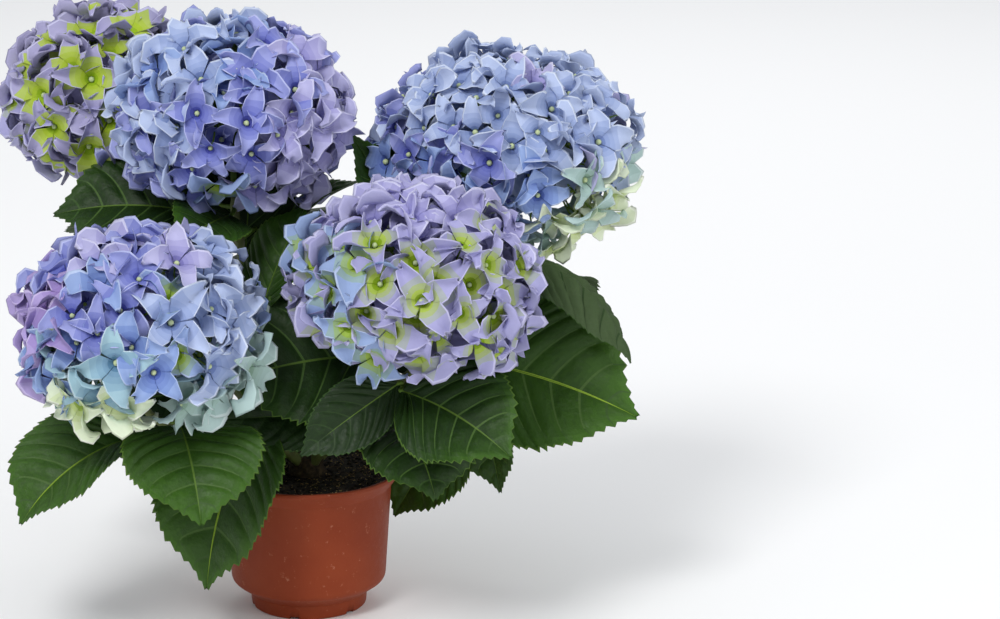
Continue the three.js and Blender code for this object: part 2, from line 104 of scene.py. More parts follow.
# %% Sizes of the leaves
# name: (cane, place on it, bearing, stalk, rise, length, width, pitch, droop, more)
LEAVES = {
    "left_low": ("front_left", 0.65, 199, 44, 0, 102, 88, -8, 48,
                 {"swing": 6, "turn": -16, "fold": 20}),
    "under_front_left": ("front_left", 0.88, 340, 20, -8, 88, 97, -10, 54, {"swing": -54}),
    "pot_front_left": ("front_left", 0.25, 262, 31, 50, 130, 102, -38, 44, {"swing": -24}),
    "pot_left": ("front_left", 0.5, 130, 30, 0, 74, 52, -55, 20, {"swing": 70}),
    "front_left_inner": ("front_left", 0.2, 140, 22, 20, 68, 58, -4, 40, {"swing": 20}),
    "under_front_right": ("front_right", 0.83, 250, 12, 0, 96, 88, -6, 30,
                          {"swing": 79, "turn": 40}),
    "rim_front_right": ("front_right", 0.54, 15, 16, 14, 84, 92, -14, 42,
                        {"swing": -80, "fold": 6}),
    "front_shade": ("front_right", 0.5, 200, 14, 30, 96, 54, -2, 0, {"swing": -14, "turn": -62}),
    "cane_shade": ("front_right", 0.76, 262, 16, 50, 86, 48, -28, 6,
                   {"swing": -60, "turn": -60}),
    "middle_front": ("front_right", 0.65, 97, 45, 38, 120, 108, 6, 22,
                     {"swing": 100, "turn": -52}),
    "right_large": ("right", 0.5, 296, 54, 10, 132, 112, -6, 20, {"swing": 54, "turn": 55}),
    "right_drooping": ("right", 0.9, 279, 48, 12, 128, 52, 4, 78, {"swing": 55, "fold": -30}),
    "right_hanging": ("right", 0.5, 335, 36, -30, 84, 58, -52, 22, {"swing": -30, "turn": 75}),
    "right_side": ("right", 0.45, 0, 30, 20, 100, 78, 0, 35, {"swing": 24}),
    "behind_right": ("right", 0.3, 24, 66, -18, 98, 70, -52, 10, {"swing": 156, "turn": -62}),
    "upper_middle": ("right", 0.62, 202, 44, 64, 120, 60, 66, 10, {"swing": -27, "turn": -45}),
    "middle_shade": ("right", 0.36, 50, 16, 0, 98, 88, 60, 10, {"swing": 42}),
    "back_right_low": ("right", 0.35, 70, 30, 15, 112, 90, 5, 50, {}),
    "back_right": ("right", 0.65, 62, 30, 10, 106, 86, 2, 45, {}),
    "back_right_high": ("right", 0.85, 105, 24, 5, 100, 84, 4, 35, {}),
    "back_right_side": ("right", 0.8, 48, 26, -5, 90, 78, -4, 55, {}),
    "under_top": ("top", 0.92, 262, 16, -6, 76, 58, 6, 14, {"swing": -14, "turn": -24}),
    "upper_left": ("top", 0.8, 160, 36, 30, 108, 88, 12, 28, {"swing": 15, "turn": -34}),
    "upright_middle": ("top", 0.5, 278, 47, 27, 84, 62, 68, 18, {"swing": 124}),
    "top_right": ("top", 0.7, 16, 26, 44, 82, 50, 48, 30, {"swing": -8}),
    "behind_top": ("top", 0.68, 92, 20, 40, 96, 72, 64, 10, {"swing": -8}),
    "back_low": ("top", 0.3, 78, 34, 15, 114, 92, 0, 58, {}),
    "back_middle": ("top", 0.5, 92, 34, 25, 110, 88, 10, 50, {}),
    "back_high": ("top", 0.8, 62, 32, 10, 106, 86, 6, 42, {}),
    "back_centre_high": ("top", 0.92, 120, 24, -8, 92, 72, -2, 35, {}),
    "back_left_upper": ("top", 0.65, 108, 26, 10, 92, 70, 0, 35, {}),
    "behind_left": ("back_left", 0.35, 172, 28, 5, 96, 80, 0, 40, {}),
    "behind_stem": ("back_left", 0.2, 62, 20, 0, 104, 84, 0, 8, {"swing": -66, "turn": 62}),
    "behind_cane": ("back_left", 0.22, 118, 20, 0, 92, 76, 0, 8, {"swing": 66, "turn": -62}),
    "back_left_low": ("back_left", 0.2, 122, 36, 10, 106, 88, -4, 55, {}),
    "back_left_inner": ("back_left", 0.5, 100, 28, 15, 106, 84, 2, 45, {}),
    "left_sliver": ("back_left", 0.6, 222, 30, 30, 52, 56, 24, 14, {"swing": -42, "turn": -20}),
    "back_left_outer": ("back_left", 0.75, 105, 26, 5, 98, 80, 0, 45, {}),
    "back_left_high": ("back_left", 0.8, 40, 28, 5, 96, 78, 0, 35, {}),
}
FOLD = 12
print(len(BLOOMS), "heads and", len(LEAVES), "leaves")

# %% [markdown]
# ## Camera, floor and light
# The plant is looked down on a little, from far enough away that a long lens draws it almost
# without perspective. The floor is plain and pale. A broad lamp high in front, a second one to
# fill the other side and a pale surrounding light give soft shadows, so that the thin parts
# keep their own colours.

# %% Camera
AIM = Vector((0.141, 0.0, 0.2232))
VIEW_HEIGHT = math.radians(16)
VIEW_DISTANCE = 2.6
camera_data = bpy.data.cameras.new("camera")
camera_data.lens = 129.6
camera = bpy.data.objects.new("camera", camera_data)
camera.location = AIM + VIEW_DISTANCE * Vector((0, -math.cos(VIEW_HEIGHT), math.sin(VIEW_HEIGHT)))
camera.rotation_euler = (math.pi / 2 - VIEW_HEIGHT, 0, 0)
scene.collection.objects.link(camera)
scene.camera = camera
print("camera at", [round(v, 3) for v in camera.location])

# %% Floor and light
scene.view_settings.view_transform = "Standard"


def principled(name, color=None, rough=0.5):
    """New node material with its Principled shader, and an optional plain base colour."""
    material = bpy.data.materials.new(name)
    material.use_nodes = True
    shader = material.node_tree.nodes["Principled BSDF"]
    shader.inputs["Roughness"].default_value = rough
    if color is not None:
        shader.inputs["Base Color"].default_value = (*color, 1)
    return material, shader


def lamp(name, energy, size, place):
    """Square soft lamp at `place`, turned towards the plant."""
    data = bpy.data.lights.new(name, "AREA")
    data.energy = energy
    data.size = size
    light = bpy.data.objects.new(name, data)
    light.location = place
    light.rotation_euler = (Vector(place) - AIM).to_track_quat("Z", "Y").to_euler()
    scene.collection.objects.link(light)


lamp("key_lamp", energy=42, size=0.9, place=(-0.7, -1.8, 2.4))
lamp("fill_lamp", energy=14, size=1.4, place=(2.0, -1.6, 1.2))
lamp("back_lamp", energy=18, size=1.6, place=(0.4, 2.0, 2.0))
world = bpy.data.worlds.new("pale_room")
world.use_nodes = True
sky = world.node_tree.nodes["Background"].inputs
sky["Color"].default_value = (0.95, 0.97, 1.0, 1)
sky["Strength"].default_value = 0.6
scene.world = world

FLOOR_REACH = 6.0
floor_mesh = bpy.data.meshes.new("floor")
corners = [(x * FLOOR_REACH, y * FLOOR_REACH, 0) for x, y in ((-1, -1), (1, -1), (1, 1), (-1, 1))]
floor_mesh.from_pydata(corners, [], [(0, 1, 2, 3)])
floor = bpy.data.objects.new("floor", floor_mesh)
floor_material, _shader = principled("pale_floor", (0.93, 0.93, 0.93), 0.9)
floor_mesh.materials.append(floor_material)
scene.collection.objects.link(floor)
print("floor and", len(bpy.data.lights), "lamps")

# %% [markdown]
# ## Meshes from rows of points
# Almost everything on a plant is a skin stretched over rows of points: a cane is a row of
# rings, a leaf or a sepal is a grid that is widest in the middle. The gatherer below collects
# such grids for one piece, with a paint for each face, and turns them into one joined mesh.
# A thin blade is closed: its underside repeats the grid a little lower and shares the outline.
# Each could be modelled by hand too, but there are dozens, and a rule keeps them of one kind.

# %% Gatherer for joined pieces


class Gatherer:
    """Collects faces and their paints for one joined piece."""

    def __init__(self):
        self.points = []
        self.loops = []
        self.sizes = []
        self.paints = []
        self.count = 0

    def add(self, points, *blocks):
        """Adds points in millimetres and blocks of (faces of one size, their paint numbers)."""
        points = np.asarray(points, float).reshape(-1, 3)
        for faces, paints in blocks:
            faces = np.asarray(faces, int)
            self.loops.append((faces + self.count).ravel())
            self.sizes.append(np.full(len(faces), faces.shape[1]))
            self.paints.append(np.broadcast_to(paints, (len(faces),)))
        self.points.append(points)
        self.count += len(points)

    def mesh(self, name, materials, zones=False):
        """One smooth mesh in metres, painted from the list, or with its paints kept as zones."""
        points = np.concatenate(self.points) * MM
        loops = np.concatenate(self.loops)
        sizes = np.concatenate(self.sizes)
        mesh = bpy.data.meshes.new(name)
        mesh.vertices.add(len(points))
        mesh.vertices.foreach_set("co", points.ravel())
        mesh.loops.add(len(loops))
        mesh.loops.foreach_set("vertex_index", loops)
        mesh.polygons.add(len(sizes))
        mesh.polygons.foreach_set("loop_start", np.concatenate([[0], np.cumsum(sizes)[:-1]]))
        mesh.polygons.foreach_set("use_smooth", np.ones(len(sizes), bool))
        for material in materials:
            mesh.materials.append(material)
        paints = np.concatenate(self.paints)
        if zones:
            mesh.attributes.new("zone", "INT", "FACE").data.foreach_set("value", paints)
        else:
            mesh.polygons.foreach_set("material_index", paints)
        mesh.update(calc_edges=True)
        mesh.validate()
        return mesh


def placed(name, mesh):
    """New object at the origin that shows the mesh."""
    piece = bpy.data.objects.new(name, mesh)
    scene.collection.objects.link(piece)
    return piece


def settle(piece, slot, *nodes):
    """Lets a finished piece ride on the plant and stand for its solids."""
    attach(piece, "root")
    if nodes:
        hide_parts(*nodes)
    piece.data.calc_loop_triangles()
    print(piece.name, "has", len(piece.data.loop_triangles), "triangles")


tetrahedron = Gatherer()
tetrahedron.add([(0, 0, 0), (1, 0, 0), (0, 1, 0), (0, 0, 1)],
                ([(0, 2, 1), (0, 1, 3), (1, 2, 3), (0, 3, 2)], 0))
print("the gatherer holds", tetrahedron.count, "points after its first shape")

# %% Grids and closed blades


def grid_faces(rows, columns, around=False):
    """Faces of a grid of points, closed across its columns if it goes around."""
    steps = columns if around else columns - 1
    r, c = np.meshgrid(np.arange(rows - 1), np.arange(steps), indexing="ij")
    a = (r * columns + c).ravel()
    b = (r * columns + (c + 1) % columns).ravel()
    return np.stack([a, b, b + columns, a + columns], axis=1)


def grid_normals(grid):
    """Unit normals of a grid of points."""
    normal = np.cross(np.gradient(grid, axis=1), np.gradient(grid, axis=0))
    return normal / (np.linalg.norm(normal, axis=2, keepdims=True) + 1e-12)


def blade(grid, thickness):
    """Closed thin blade over a grid of points: (points, top faces, under faces)."""
    rows, columns, _ = grid.shape
    inside = np.zeros((rows, columns), bool)
    inside[1:-1, 1:-1] = True
    depth = np.broadcast_to(thickness, (rows, columns))[..., None]
    under = (grid - grid_normals(grid) * depth)[inside]
    number = np.arange(rows * columns).reshape(rows, columns)
    number_under = number.copy()
    number_under[inside] = rows * columns + np.arange(len(under))
    top = grid_faces(rows, columns)
    below = number_under.ravel()[top][:, [0, 3, 2, 1]]
    return np.concatenate([grid.reshape(-1, 3), under]), top, below


flat_grid = np.mgrid[0:3, 0:3, 0:1].T[0].astype(float)
print("a 3 by 3 blade has", len(blade(flat_grid, 0.1)[0]), "points")

# %% Tubes
FIRST_SIDE = np.array((0.31, 0.95, 0.05))   # a direction that no tube starts along


def tube(centres, radii, sides):
    """Closed tube along a row of points: (points, faces, end faces)."""
    centres = np.asarray(centres, float)
    radii = np.broadcast_to(radii, (len(centres),))
    tangent = np.gradient(centres, axis=0)
    tangent /= np.linalg.norm(tangent, axis=1, keepdims=True)
    side = FIRST_SIDE
    angle = np.linspace(0, 2 * np.pi, sides, endpoint=False)
    rings = []
    for centre, along, radius in zip(centres, tangent, radii):
        side = side - along * side.dot(along)
        side /= np.linalg.norm(side)
        spread = np.outer(np.cos(angle), side) + np.outer(np.sin(angle), np.cross(along, side))
        rings.append(centre + radius * spread)
    first = np.arange(sides)[::-1]
    last = (len(rings) - 1) * sides + np.arange(sides)
    faces = grid_faces(len(rings), sides, around=True)
    return np.concatenate(rings), faces, np.stack([first, last])


straight = [(0, 0, z) for z in range(5)]
print("a tube over", len(straight), "points has", len(tube(straight, 1.0, 6)[1]), "side faces")

# %% Steps and unevenness


def smoothstep(value, low, high):
    """Smooth step from 0 at `low` to 1 at `high`."""
    t = np.clip((np.asarray(value, float) - low) / (high - low), 0, 1)
    return t * t * (3 - 2 * t)


def waves(x, y, z, grain):
    """Smooth unevenness between -1 and 1, its waves about `grain` long.

    The waves cross at odd angles, so that they don't line up into a pattern.
    """
    k = 2 * np.pi / grain
    a = np.sin(k * (x + 0.37 * z)) * np.cos(k * (0.83 * y - 0.2 * x))
    b = np.sin(k * (0.71 * y + 0.53 * z) + 1.3) * np.cos(k * (0.9 * z - 0.31 * x))
    return (a + b) / 2


print("half way up a smooth step is", smoothstep(0.5, 0, 1))

# %% [markdown]
# ## Growing things with Geometry Nodes
# What repeats or follows a line is grown by Geometry Nodes: crumbs of peat over the soil,
# florets over a head, flower stalks along their lines. Each tree is built here with named
# inputs. Its last nodes realise the instances and set the material, and the result is copied
# into a plain mesh, because instances and modifiers don't reach an exported model.

# %% Building and running a tree


def socket_of(sockets, name):
    """The socket of that name that is in use, among those of a node."""
    same = [socket for socket in sockets if socket.name == name]
    return next((socket for socket in same if socket.enabled), same[0])


class Tree:
    """A Geometry Nodes tree with named inputs."""

    def __init__(self, name, **inputs):
        self.group = bpy.data.node_groups.new(name, "GeometryNodeTree")
        panel = self.group.interface
        panel.new_socket(name="Geometry", in_out="INPUT", socket_type="NodeSocketGeometry")
        for label, value in inputs.items():
            kind = {float: "Float", int: "Int"}.get(type(value), value)
            made = panel.new_socket(name=label, in_out="INPUT", socket_type=f"NodeSocket{kind}")
            if kind != value:
                made.default_value = value
        panel.new_socket(name="Geometry", in_out="OUTPUT", socket_type="NodeSocketGeometry")
        self.given = self.group.nodes.new("NodeGroupInput").outputs
        self.result = self.group.nodes.new("NodeGroupOutput").inputs["Geometry"]

    def node(self, kind, output, inputs=None, **settings):
        """Output of a new node; its inputs are linked from sockets or set to values."""
        node = self.group.nodes.new(kind)
        for key, value in settings.items():
            setattr(node, key, value)
        for key, value in (inputs or {}).items():
            socket = socket_of(node.inputs, key)
            if isinstance(value, bpy.types.NodeSocket):
                self.group.links.new(value, socket)
            else:
                socket.default_value = value
        return socket_of(node.outputs, output)

    def named(self, kind, attribute):
        """Value of a named attribute."""
        return self.node("GeometryNodeInputNamedAttribute", "Attribute", {"Name": attribute},
                         data_type=kind)

    def finish(self, geometry):
        """Joins the last geometry to the tree's output."""
        self.group.links.new(geometry, self.result)


def grown(name, tree, base, **values):
    """Plain piece that the tree grows from the base object, which is then thrown away."""
    modifier = base.modifiers.new("growth", "NODES")
    modifier.node_group = tree.group
    for item in tree.group.interface.items_tree:
        if item.in_out == "INPUT" and item.name in values:
            modifier[item.identifier] = values[item.name]
    graph = bpy.context.evaluated_depsgraph_get()
    mesh = bpy.data.meshes.new_from_object(base.evaluated_get(graph), depsgraph=graph)
    mesh.name = name
    bpy.data.objects.remove(base)
    return placed(name, mesh)


print("trees are grown on", bpy.app.version_string)

# %% [markdown]
# ## The pot
# The pot is moulded in matt terracotta plastic: a thin wall that flares into a rim band, a
# rounded shoulder and a narrower foot with drain slots. A profile turned about the middle gives
# it, with many more steps than the frame's solid, so that it is round. The slots and the
# notches under the foot are cut with a Boolean modifier, which is applied at once.

# %% Turned profiles


def turned(profile, steps):
    """Closed skin of a profile of (radius, height) turned about Z, its ends on the axis."""
    profile = np.asarray(profile, float)
    angle = np.linspace(0, 2 * np.pi, steps, endpoint=False)
    ring = np.stack([np.cos(angle), np.sin(angle)], axis=1)
    inner = profile[1:-1]
    rows = np.concatenate([
        np.concatenate([ring * r, np.full((steps, 1), z)], axis=1) for r, z in inner
    ])
    poles = np.array([[0, 0, profile[0][1]], [0, 0, profile[-1][1]]])
    points = np.concatenate([rows, poles])
    i = np.arange(steps)
    j = (i + 1) % steps
    last = (len(inner) - 1) * steps
    foot = np.stack([j, i, np.full(steps, len(rows))], axis=1)
    top = np.stack([last + i, last + j, np.full(steps, len(rows) + 1)], axis=1)
    return points, grid_faces(len(inner), steps, around=True), foot, top


def rounded(profile, radius, steps=4):
    """The profile with each inner corner replaced by a short curve."""
    out = [profile[0]]
    for before, corner, after in zip(profile, profile[1:], profile[2:]):
        a = np.subtract(before, corner)
        b = np.subtract(after, corner)
        reach = min(radius, 0.45 * np.hypot(*a), 0.45 * np.hypot(*b))
        a = reach * a / np.hypot(*a)
        b = reach * b / np.hypot(*b)
        for t in np.linspace(0, 1, steps):
            out.append(tuple(np.add(corner, (1 - t) ** 2 * a + t**2 * b)))
    out.append(profile[-1])
    return out


cone = turned([(0, 0), (2, 0), (1, 1), (0, 1)], 8)[0]
print("a cut cone turned in 8 steps has", len(cone), "points")

# %% Helpers for materials


def noise(nodes, links, scale, detail=3, rough=0.5, kind="ShaderNodeTexNoise"):
    """Noise over Object coordinates; its Fac is the output."""
    place = nodes.new("ShaderNodeTexCoord")
    texture = nodes.new(kind)
    texture.inputs["Scale"].default_value = scale
    texture.inputs["Detail"].default_value = detail
    texture.inputs["Roughness"].default_value = rough
    links.new(place.outputs["Object"], texture.inputs["Vector"])
    return texture.outputs["Fac"]


def ramp(nodes, links, value, *stops):
    """Colours or greys along a value: stops are (place, colour)."""
    node = nodes.new("ShaderNodeValToRGB")
    while len(node.color_ramp.elements) < len(stops):
        node.color_ramp.elements.new(0.5)
    for element, (place, color) in zip(node.color_ramp.elements, stops):
        element.position = place
        element.color = (*color, 1) if isinstance(color, tuple) else (color, color, color, 1)
    links.new(value, node.inputs["Fac"])
    return node.outputs["Color"]


def bumped(nodes, links, shader, height, distance, strength=1.0):
    """Bump of the shader from a height, `distance` metres deep."""
    node = nodes.new("ShaderNodeBump")
    node.inputs["Strength"].default_value = strength
    node.inputs["Distance"].default_value = distance
    links.new(height, node.inputs["Height"])
    links.new(node.outputs["Normal"], shader.inputs["Normal"])


def mixed(nodes, links, factor, first, second):
    """Mix from the linked colour `first` to the plain colour `second`, by a linked factor."""
    node = nodes.new("ShaderNodeMix")
    node.data_type = "RGBA"
    socket_of(node.inputs, "B").default_value = (*second, 1)
    links.new(factor, socket_of(node.inputs, "Factor"))
    links.new(first, socket_of(node.inputs, "A"))
    return socket_of(node.outputs, "Result")


def rgb(red, green, blue):
    """Linear colour of a screen colour given from 0 to 255."""
    out = []
    for value in (red, green, blue):
        v = value / 255
        out.append(v / 12.92 if v <= 0.04045 else ((v + 0.055) / 1.055) ** 2.4)
    return tuple(out)


print("a middling grey is", [round(v, 3) for v in rgb(128, 128, 128)], "as linear colour")

# %% Terracotta plastic
pot_material, pot_shader = principled("terracotta_plastic", rough=0.55)
pot_nodes = pot_material.node_tree.nodes
pot_links = pot_material.node_tree.links
patches = noise(pot_nodes, pot_links, 22, 4)
scuffs = noise(pot_nodes, pot_links, 190, 6, 0.75)
pot_shader.inputs["Specular IOR Level"].default_value = 0.2
clay = ramp(pot_nodes, pot_links, patches, (0.3, rgb(128, 49, 20)), (0.7, rgb(139, 59, 28)))
dust = ramp(pot_nodes, pot_links, scuffs, (0.61, 0.0), (0.74, 0.7))
pot_links.new(mixed(pot_nodes, pot_links, dust, clay, rgb(196, 138, 112)),
              pot_shader.inputs["Base Color"])
pot_links.new(ramp(pot_nodes, pot_links, scuffs, (0.3, 0.42), (0.8, 0.66)),
              pot_shader.inputs["Roughness"])
bumped(pot_nodes, pot_links, pot_shader, scuffs, 0.0004, 0.4)
print("pot material has", len(pot_nodes), "nodes")

# %% The pot's mesh
POT_STEPS = 144
FOOT_FLARE = 1                  # the foot is wider by this much at its ledge
SHOULDER = (0.2, 2.5)           # the shoulder bulges by this much, this high above the ledge
LIP = (0.6, 3.5, 2.5)           # the lip's overhang, and the depths between which it steps out
LIP_WIDER = 0.8                 # the lip is thicker than the wall by this much
OUTER_ROUNDING = 1.2
INNER_ROUNDING = 0.9
p = POT
outer = [
    (0, 0),
    (p["foot_radius"], 0),
    (p["foot_radius"] + FOOT_FLARE, p["foot_height"]),
    (p["wall_foot_radius"] - 1, p["ledge_top"]),
    (p["wall_foot_radius"] + SHOULDER[0], p["ledge_top"] + SHOULDER[1]),
    (p["wall_top_radius"], p["band_foot"]),
    (p["rim_radius"] - LIP[0], p["height"] - LIP[1]),
    (p["rim_radius"], p["height"] - LIP[2]),
    (p["rim_radius"], p["height"]),
]
inner = [
    (p["rim_radius"] - p["wall"] - LIP_WIDER, p["height"]),
    (p["wall_top_radius"] - p["wall"], p["band_foot"]),
    (p["wall_foot_radius"] - p["wall"], p["ledge_top"] + 4),
    (p["foot_radius"] - p["wall"] + FOOT_FLARE, p["foot_height"] + 1.4),
    (p["foot_radius"] - p["wall"], p["floor"]),
    (0, p["floor"]),
]
pot_profile = rounded(outer, OUTER_ROUNDING)[:-1]
pot_profile += rounded([*outer[-2:], *inner], INNER_ROUNDING)[1:]


def turned_piece(name, profile, steps, material, lift=None):
    """Piece that is one profile turned about the pot's middle, with its points lifted or not."""
    points, around, foot, top = turned(profile, steps)
    if lift is not None:
        points[:, 2] += lift(points)
    parts = Gatherer()
    parts.add(points, (around, 0), (foot, 0), (top, 0))
    return placed(name, parts.mesh(name, [material]))


pot = turned_piece("nursery_pot", pot_profile, POT_STEPS, pot_material)
print("the pot's profile has", len(pot_profile), "points")

# %% The pot's slots and notches


def cutter(radius, width, depth, low, high, angle):
    """Block standing across the pot's ring, to cut a slot or a notch."""
    bpy.ops.mesh.primitive_cube_add(size=1)
    block = bpy.context.object
    block.data.transform(Matrix.Diagonal((depth * MM, width * MM, (high - low) * MM, 1)))
    block.data.transform(Matrix.Translation((radius * MM, 0, (high + low) / 2 * MM)))
    block.data.transform(Matrix.Rotation(angle, 4, "Z"))
    return block


def cut(piece, block):
    """Cuts the block out of the piece."""
    modifier = piece.modifiers.new("cut", "BOOLEAN")
    modifier.object = block
    modifier.operation = "DIFFERENCE"
    graph = bpy.context.evaluated_depsgraph_get()
    mesh = bpy.data.meshes.new_from_object(piece.evaluated_get(graph), depsgraph=graph)
    piece.modifiers.clear()
    piece.data = mesh
    bpy.data.objects.remove(block)


SLOT_REACH = 18                 # length of the block that cuts a slot, across the pot's ring
ledge = (p["foot_radius"] + p["wall_foot_radius"]) / 2 + 3
for i in range(SLOT["count"]):
    angle = 2 * math.pi * (i + SLOT["phase"]) / SLOT["count"]
    cut(pot, cutter(ledge, SLOT["width"], SLOT_REACH, SLOT["low"], SLOT["high"], angle))
for i in range(NOTCH["count"]):
    angle = 2 * math.pi * (i + NOTCH["phase"]) / NOTCH["count"]
    cut(pot, cutter(p["foot_radius"], NOTCH["width"], 2 * NOTCH["depth"], -1,
                    NOTCH["height"], angle))
settle(pot, "pot", "pot")

# %% [markdown]
# ## The peat
# The pot is filled nearly to its rim with dark, moist peat. It is a turned skin like the pot's,
# whose top is lowered and raised by two sizes of waves. Crumbs, short fibres and a few pale
# grains lie on it. They repeat by the hundred, so a Geometry Nodes tree scatters them over the
# top with a fixed seed, and each is a shape of only a few faces.

# %% Peat
PEAT_STEPS = 120
PEAT_RINGS = 34
PEAT_CLEAR = 0.6                # room between the peat and the pot's wall
PEAT_SIDE = p["wall"] + PEAT_CLEAR
PEAT_FOOT = p["floor"] + 0.3
PEAT_TOP = SOIL_TOP - 0.4
rim_part = (SOIL_TOP - p["band_foot"]) / (p["height"] - p["band_foot"])
PEAT_EDGE = (p["wall_top_radius"] + rim_part * (p["rim_radius"] - p["wall_top_radius"])
             - PEAT_SIDE - LIP_WIDER)
side_profile = [
    (0, PEAT_FOOT),
    (p["foot_radius"] - PEAT_SIDE - PEAT_CLEAR, PEAT_FOOT),
    (p["foot_radius"] - PEAT_SIDE, p["foot_height"] + 2),
    (p["wall_foot_radius"] - PEAT_SIDE - PEAT_CLEAR, p["ledge_top"] + 5.5),
    (p["wall_top_radius"] - PEAT_SIDE, p["band_foot"]),
]
top_profile = [(r, PEAT_TOP) for r in np.linspace(PEAT_EDGE, 1.5, PEAT_RINGS)] + [(0, PEAT_TOP)]


def peat_lift(points):
    """Height of the peat's lumps over its flat top, none at its edge and round the stem."""
    x, y, z = points.T
    reach = np.hypot(x, y)
    open_top = (z > SOIL_TOP - 1) & (reach < PEAT_EDGE - 0.5)
    calm = smoothstep(reach, 13, 24)
    lumps = 1.1 * waves(x, y, 0, 27) + 0.5 * waves(y, x, 0, 9)
    return np.where(open_top, calm * lumps + 0.25 * waves(x, y, 3, 3.7), 0)


peat_material, peat_shader = principled("moist_peat", rough=0.92)
peat_nodes = peat_material.node_tree.nodes
peat_links = peat_material.node_tree.links
grains = noise(peat_nodes, peat_links, 420, 8, 0.7)
peat_links.new(ramp(peat_nodes, peat_links, grains, (0.36, rgb(12, 9, 6)), (0.52, rgb(40, 30, 20)),
                    (0.72, rgb(92, 74, 50))), peat_shader.inputs["Base Color"])
bumped(peat_nodes, peat_links, peat_shader, grains, 0.0015, 0.9)
peat = turned_piece("peat", side_profile + top_profile, PEAT_STEPS, peat_material, peat_lift)
settle(peat, "soil", "potting_soil")

# %% Crumbs, fibres and grains


def scatter_tree(name, material):
    """Scatters a small shape over the upward faces of a surface, turned and sized at random."""
    tree = Tree(name, Shape="Object", Density=1000.0, Smallest=0.5, Largest=1.5, Seed=1)
    given = tree.given
    normal = tree.node("GeometryNodeInputNormal", "Normal")
    height = tree.node("ShaderNodeSeparateXYZ", "Z", {"Vector": normal})
    upward = tree.node("FunctionNodeCompare", "Result", {"A": height, "B": 0.5})
    spots = tree.node("GeometryNodeDistributePointsOnFaces", "Points", {
        "Mesh": given["Geometry"], "Selection": upward, "Density": given["Density"],
        "Seed": given["Seed"],
    })
    shape = tree.node("GeometryNodeObjectInfo", "Geometry", {"Object": given["Shape"]})
    turn = tree.node("FunctionNodeRandomValue", "Value", {
        "Min": (-0.5, -0.5, 0.0), "Max": (0.5, 0.5, 6.283), "Seed": given["Seed"],
    }, data_type="FLOAT_VECTOR")
    size = tree.node("FunctionNodeRandomValue", "Value", {
        "Min": given["Smallest"], "Max": given["Largest"], "Seed": given["Seed"],
    }, data_type="FLOAT")
    many = tree.node("GeometryNodeInstanceOnPoints", "Instances", {
        "Points": spots, "Instance": shape, "Rotation": turn, "Scale": size,
    })
    real = tree.node("GeometryNodeRealizeInstances", "Geometry", {"Geometry": many})
    tree.finish(tree.node("GeometryNodeSetMaterial", "Geometry",
                          {"Geometry": real, "Material": material}))
    return tree


def pebble(name, stretch):
    """Uneven many-sided grain a millimetre across, drawn out by `stretch`."""
    corners = np.array([(x, y, z) for x in (-1, 1) for y in (-1, 1) for z in (-1, 1)]) * 0.38
    middles = np.array([(0.6, 0, 0), (-0.6, 0, 0), (0, 0.6, 0), (0, -0.6, 0),
                        (0, 0, 0.55), (0, 0, -0.55)])
    points = np.concatenate([corners, middles])
    uneven = 1 + 0.25 * waves(*points.T * 7, 3.1)
    points = points * uneven[:, None] * stretch
    quads = [(4, 6, 7, 5, 8), (0, 1, 3, 2, 9), (2, 3, 7, 6, 10), (0, 4, 5, 1, 11),
             (1, 5, 7, 3, 12), (0, 2, 6, 4, 13)]
    faces = [(q[i], q[(i + 1) % 4], q[4]) for q in quads for i in range(4)]
    parts = Gatherer()
    parts.add(points, (faces, 0))
    return placed(name, parts.mesh(name, []))


def strewn(name, shape, color, rough, **sizes):
    """Small shapes strewn over the peat, joined into one piece."""
    material, _shader = principled(name, color, rough)
    base = placed("ground", peat.data.copy())
    piece = grown(name, scatter_tree(name, material), base, Shape=shape, **sizes)
    bpy.data.objects.remove(shape)
    settle(piece, "soil")


strewn("peat_crumbs", pebble("crumb", (1.3, 1.0, 0.8)), rgb(26, 20, 13), 0.95,
       Density=50000.0, Smallest=0.7, Largest=2.6, Seed=4)
strewn("peat_fibres", pebble("fibre", (5.0, 0.35, 0.3)), rgb(112, 88, 52), 0.9,
       Density=30000.0, Smallest=0.5, Largest=1.4, Seed=9)
strewn("pale_grains", pebble("grain", (0.9, 0.8, 0.7)), rgb(176, 152, 100), 0.8,
       Density=45000.0, Smallest=0.4, Largest=1.5, Seed=15)

# %% [markdown]
# ## Stem and canes
# The stem is a short brown stump with split, flaking bark. The canes are this year's shoots:
# round, green, a little swollen where a pair of leaves joins. Both are rings of points along a
# line, and the bark's cracks, ridges and joints are moved into the points themselves, so that
# the outline has them too. Each cane follows the same cubic curve as its solid.

# %% Lines of the canes


def curve(points, t):
    """Points of a cubic curve with four control points, at the places t."""
    a, b, c, d = [np.asarray(q, float) for q in points]
    t = np.atleast_1d(t)[:, None]
    return (1 - t) ** 3 * a + 3 * (1 - t) ** 2 * t * b + 3 * (1 - t) * t**2 * c + t**3 * d


def evened(line, places):
    """Points of a line of points at the given parts of its length."""
    step = np.linalg.norm(np.diff(line, axis=0), axis=1)
    way = np.concatenate([[0], np.cumsum(step)]) / step.sum()
    return np.stack([np.interp(places, way, line[:, i]) for i in range(3)], axis=1)


def cane_line(head):
    """Control points of the cane that carries a head."""
    (x, y, z), _wide, tall, foot = head
    angle = math.radians(foot)
    start = np.array([CANE["ring"] * math.cos(angle), CANE["ring"] * math.sin(angle),
                      SOIL_TOP + STEM["height"] - CANE["bury"]])
    under = z - tall * FLAT_UNDER
    first = start + 0.3 * (np.array([x, y, start[2]]) - start)
    first[2] += CANE["rise"]
    second = (0.94 * x, 0.94 * y, under - 0.45 * (under - start[2]))
    return start, first, second, (x, y, under + CANE["reach"])


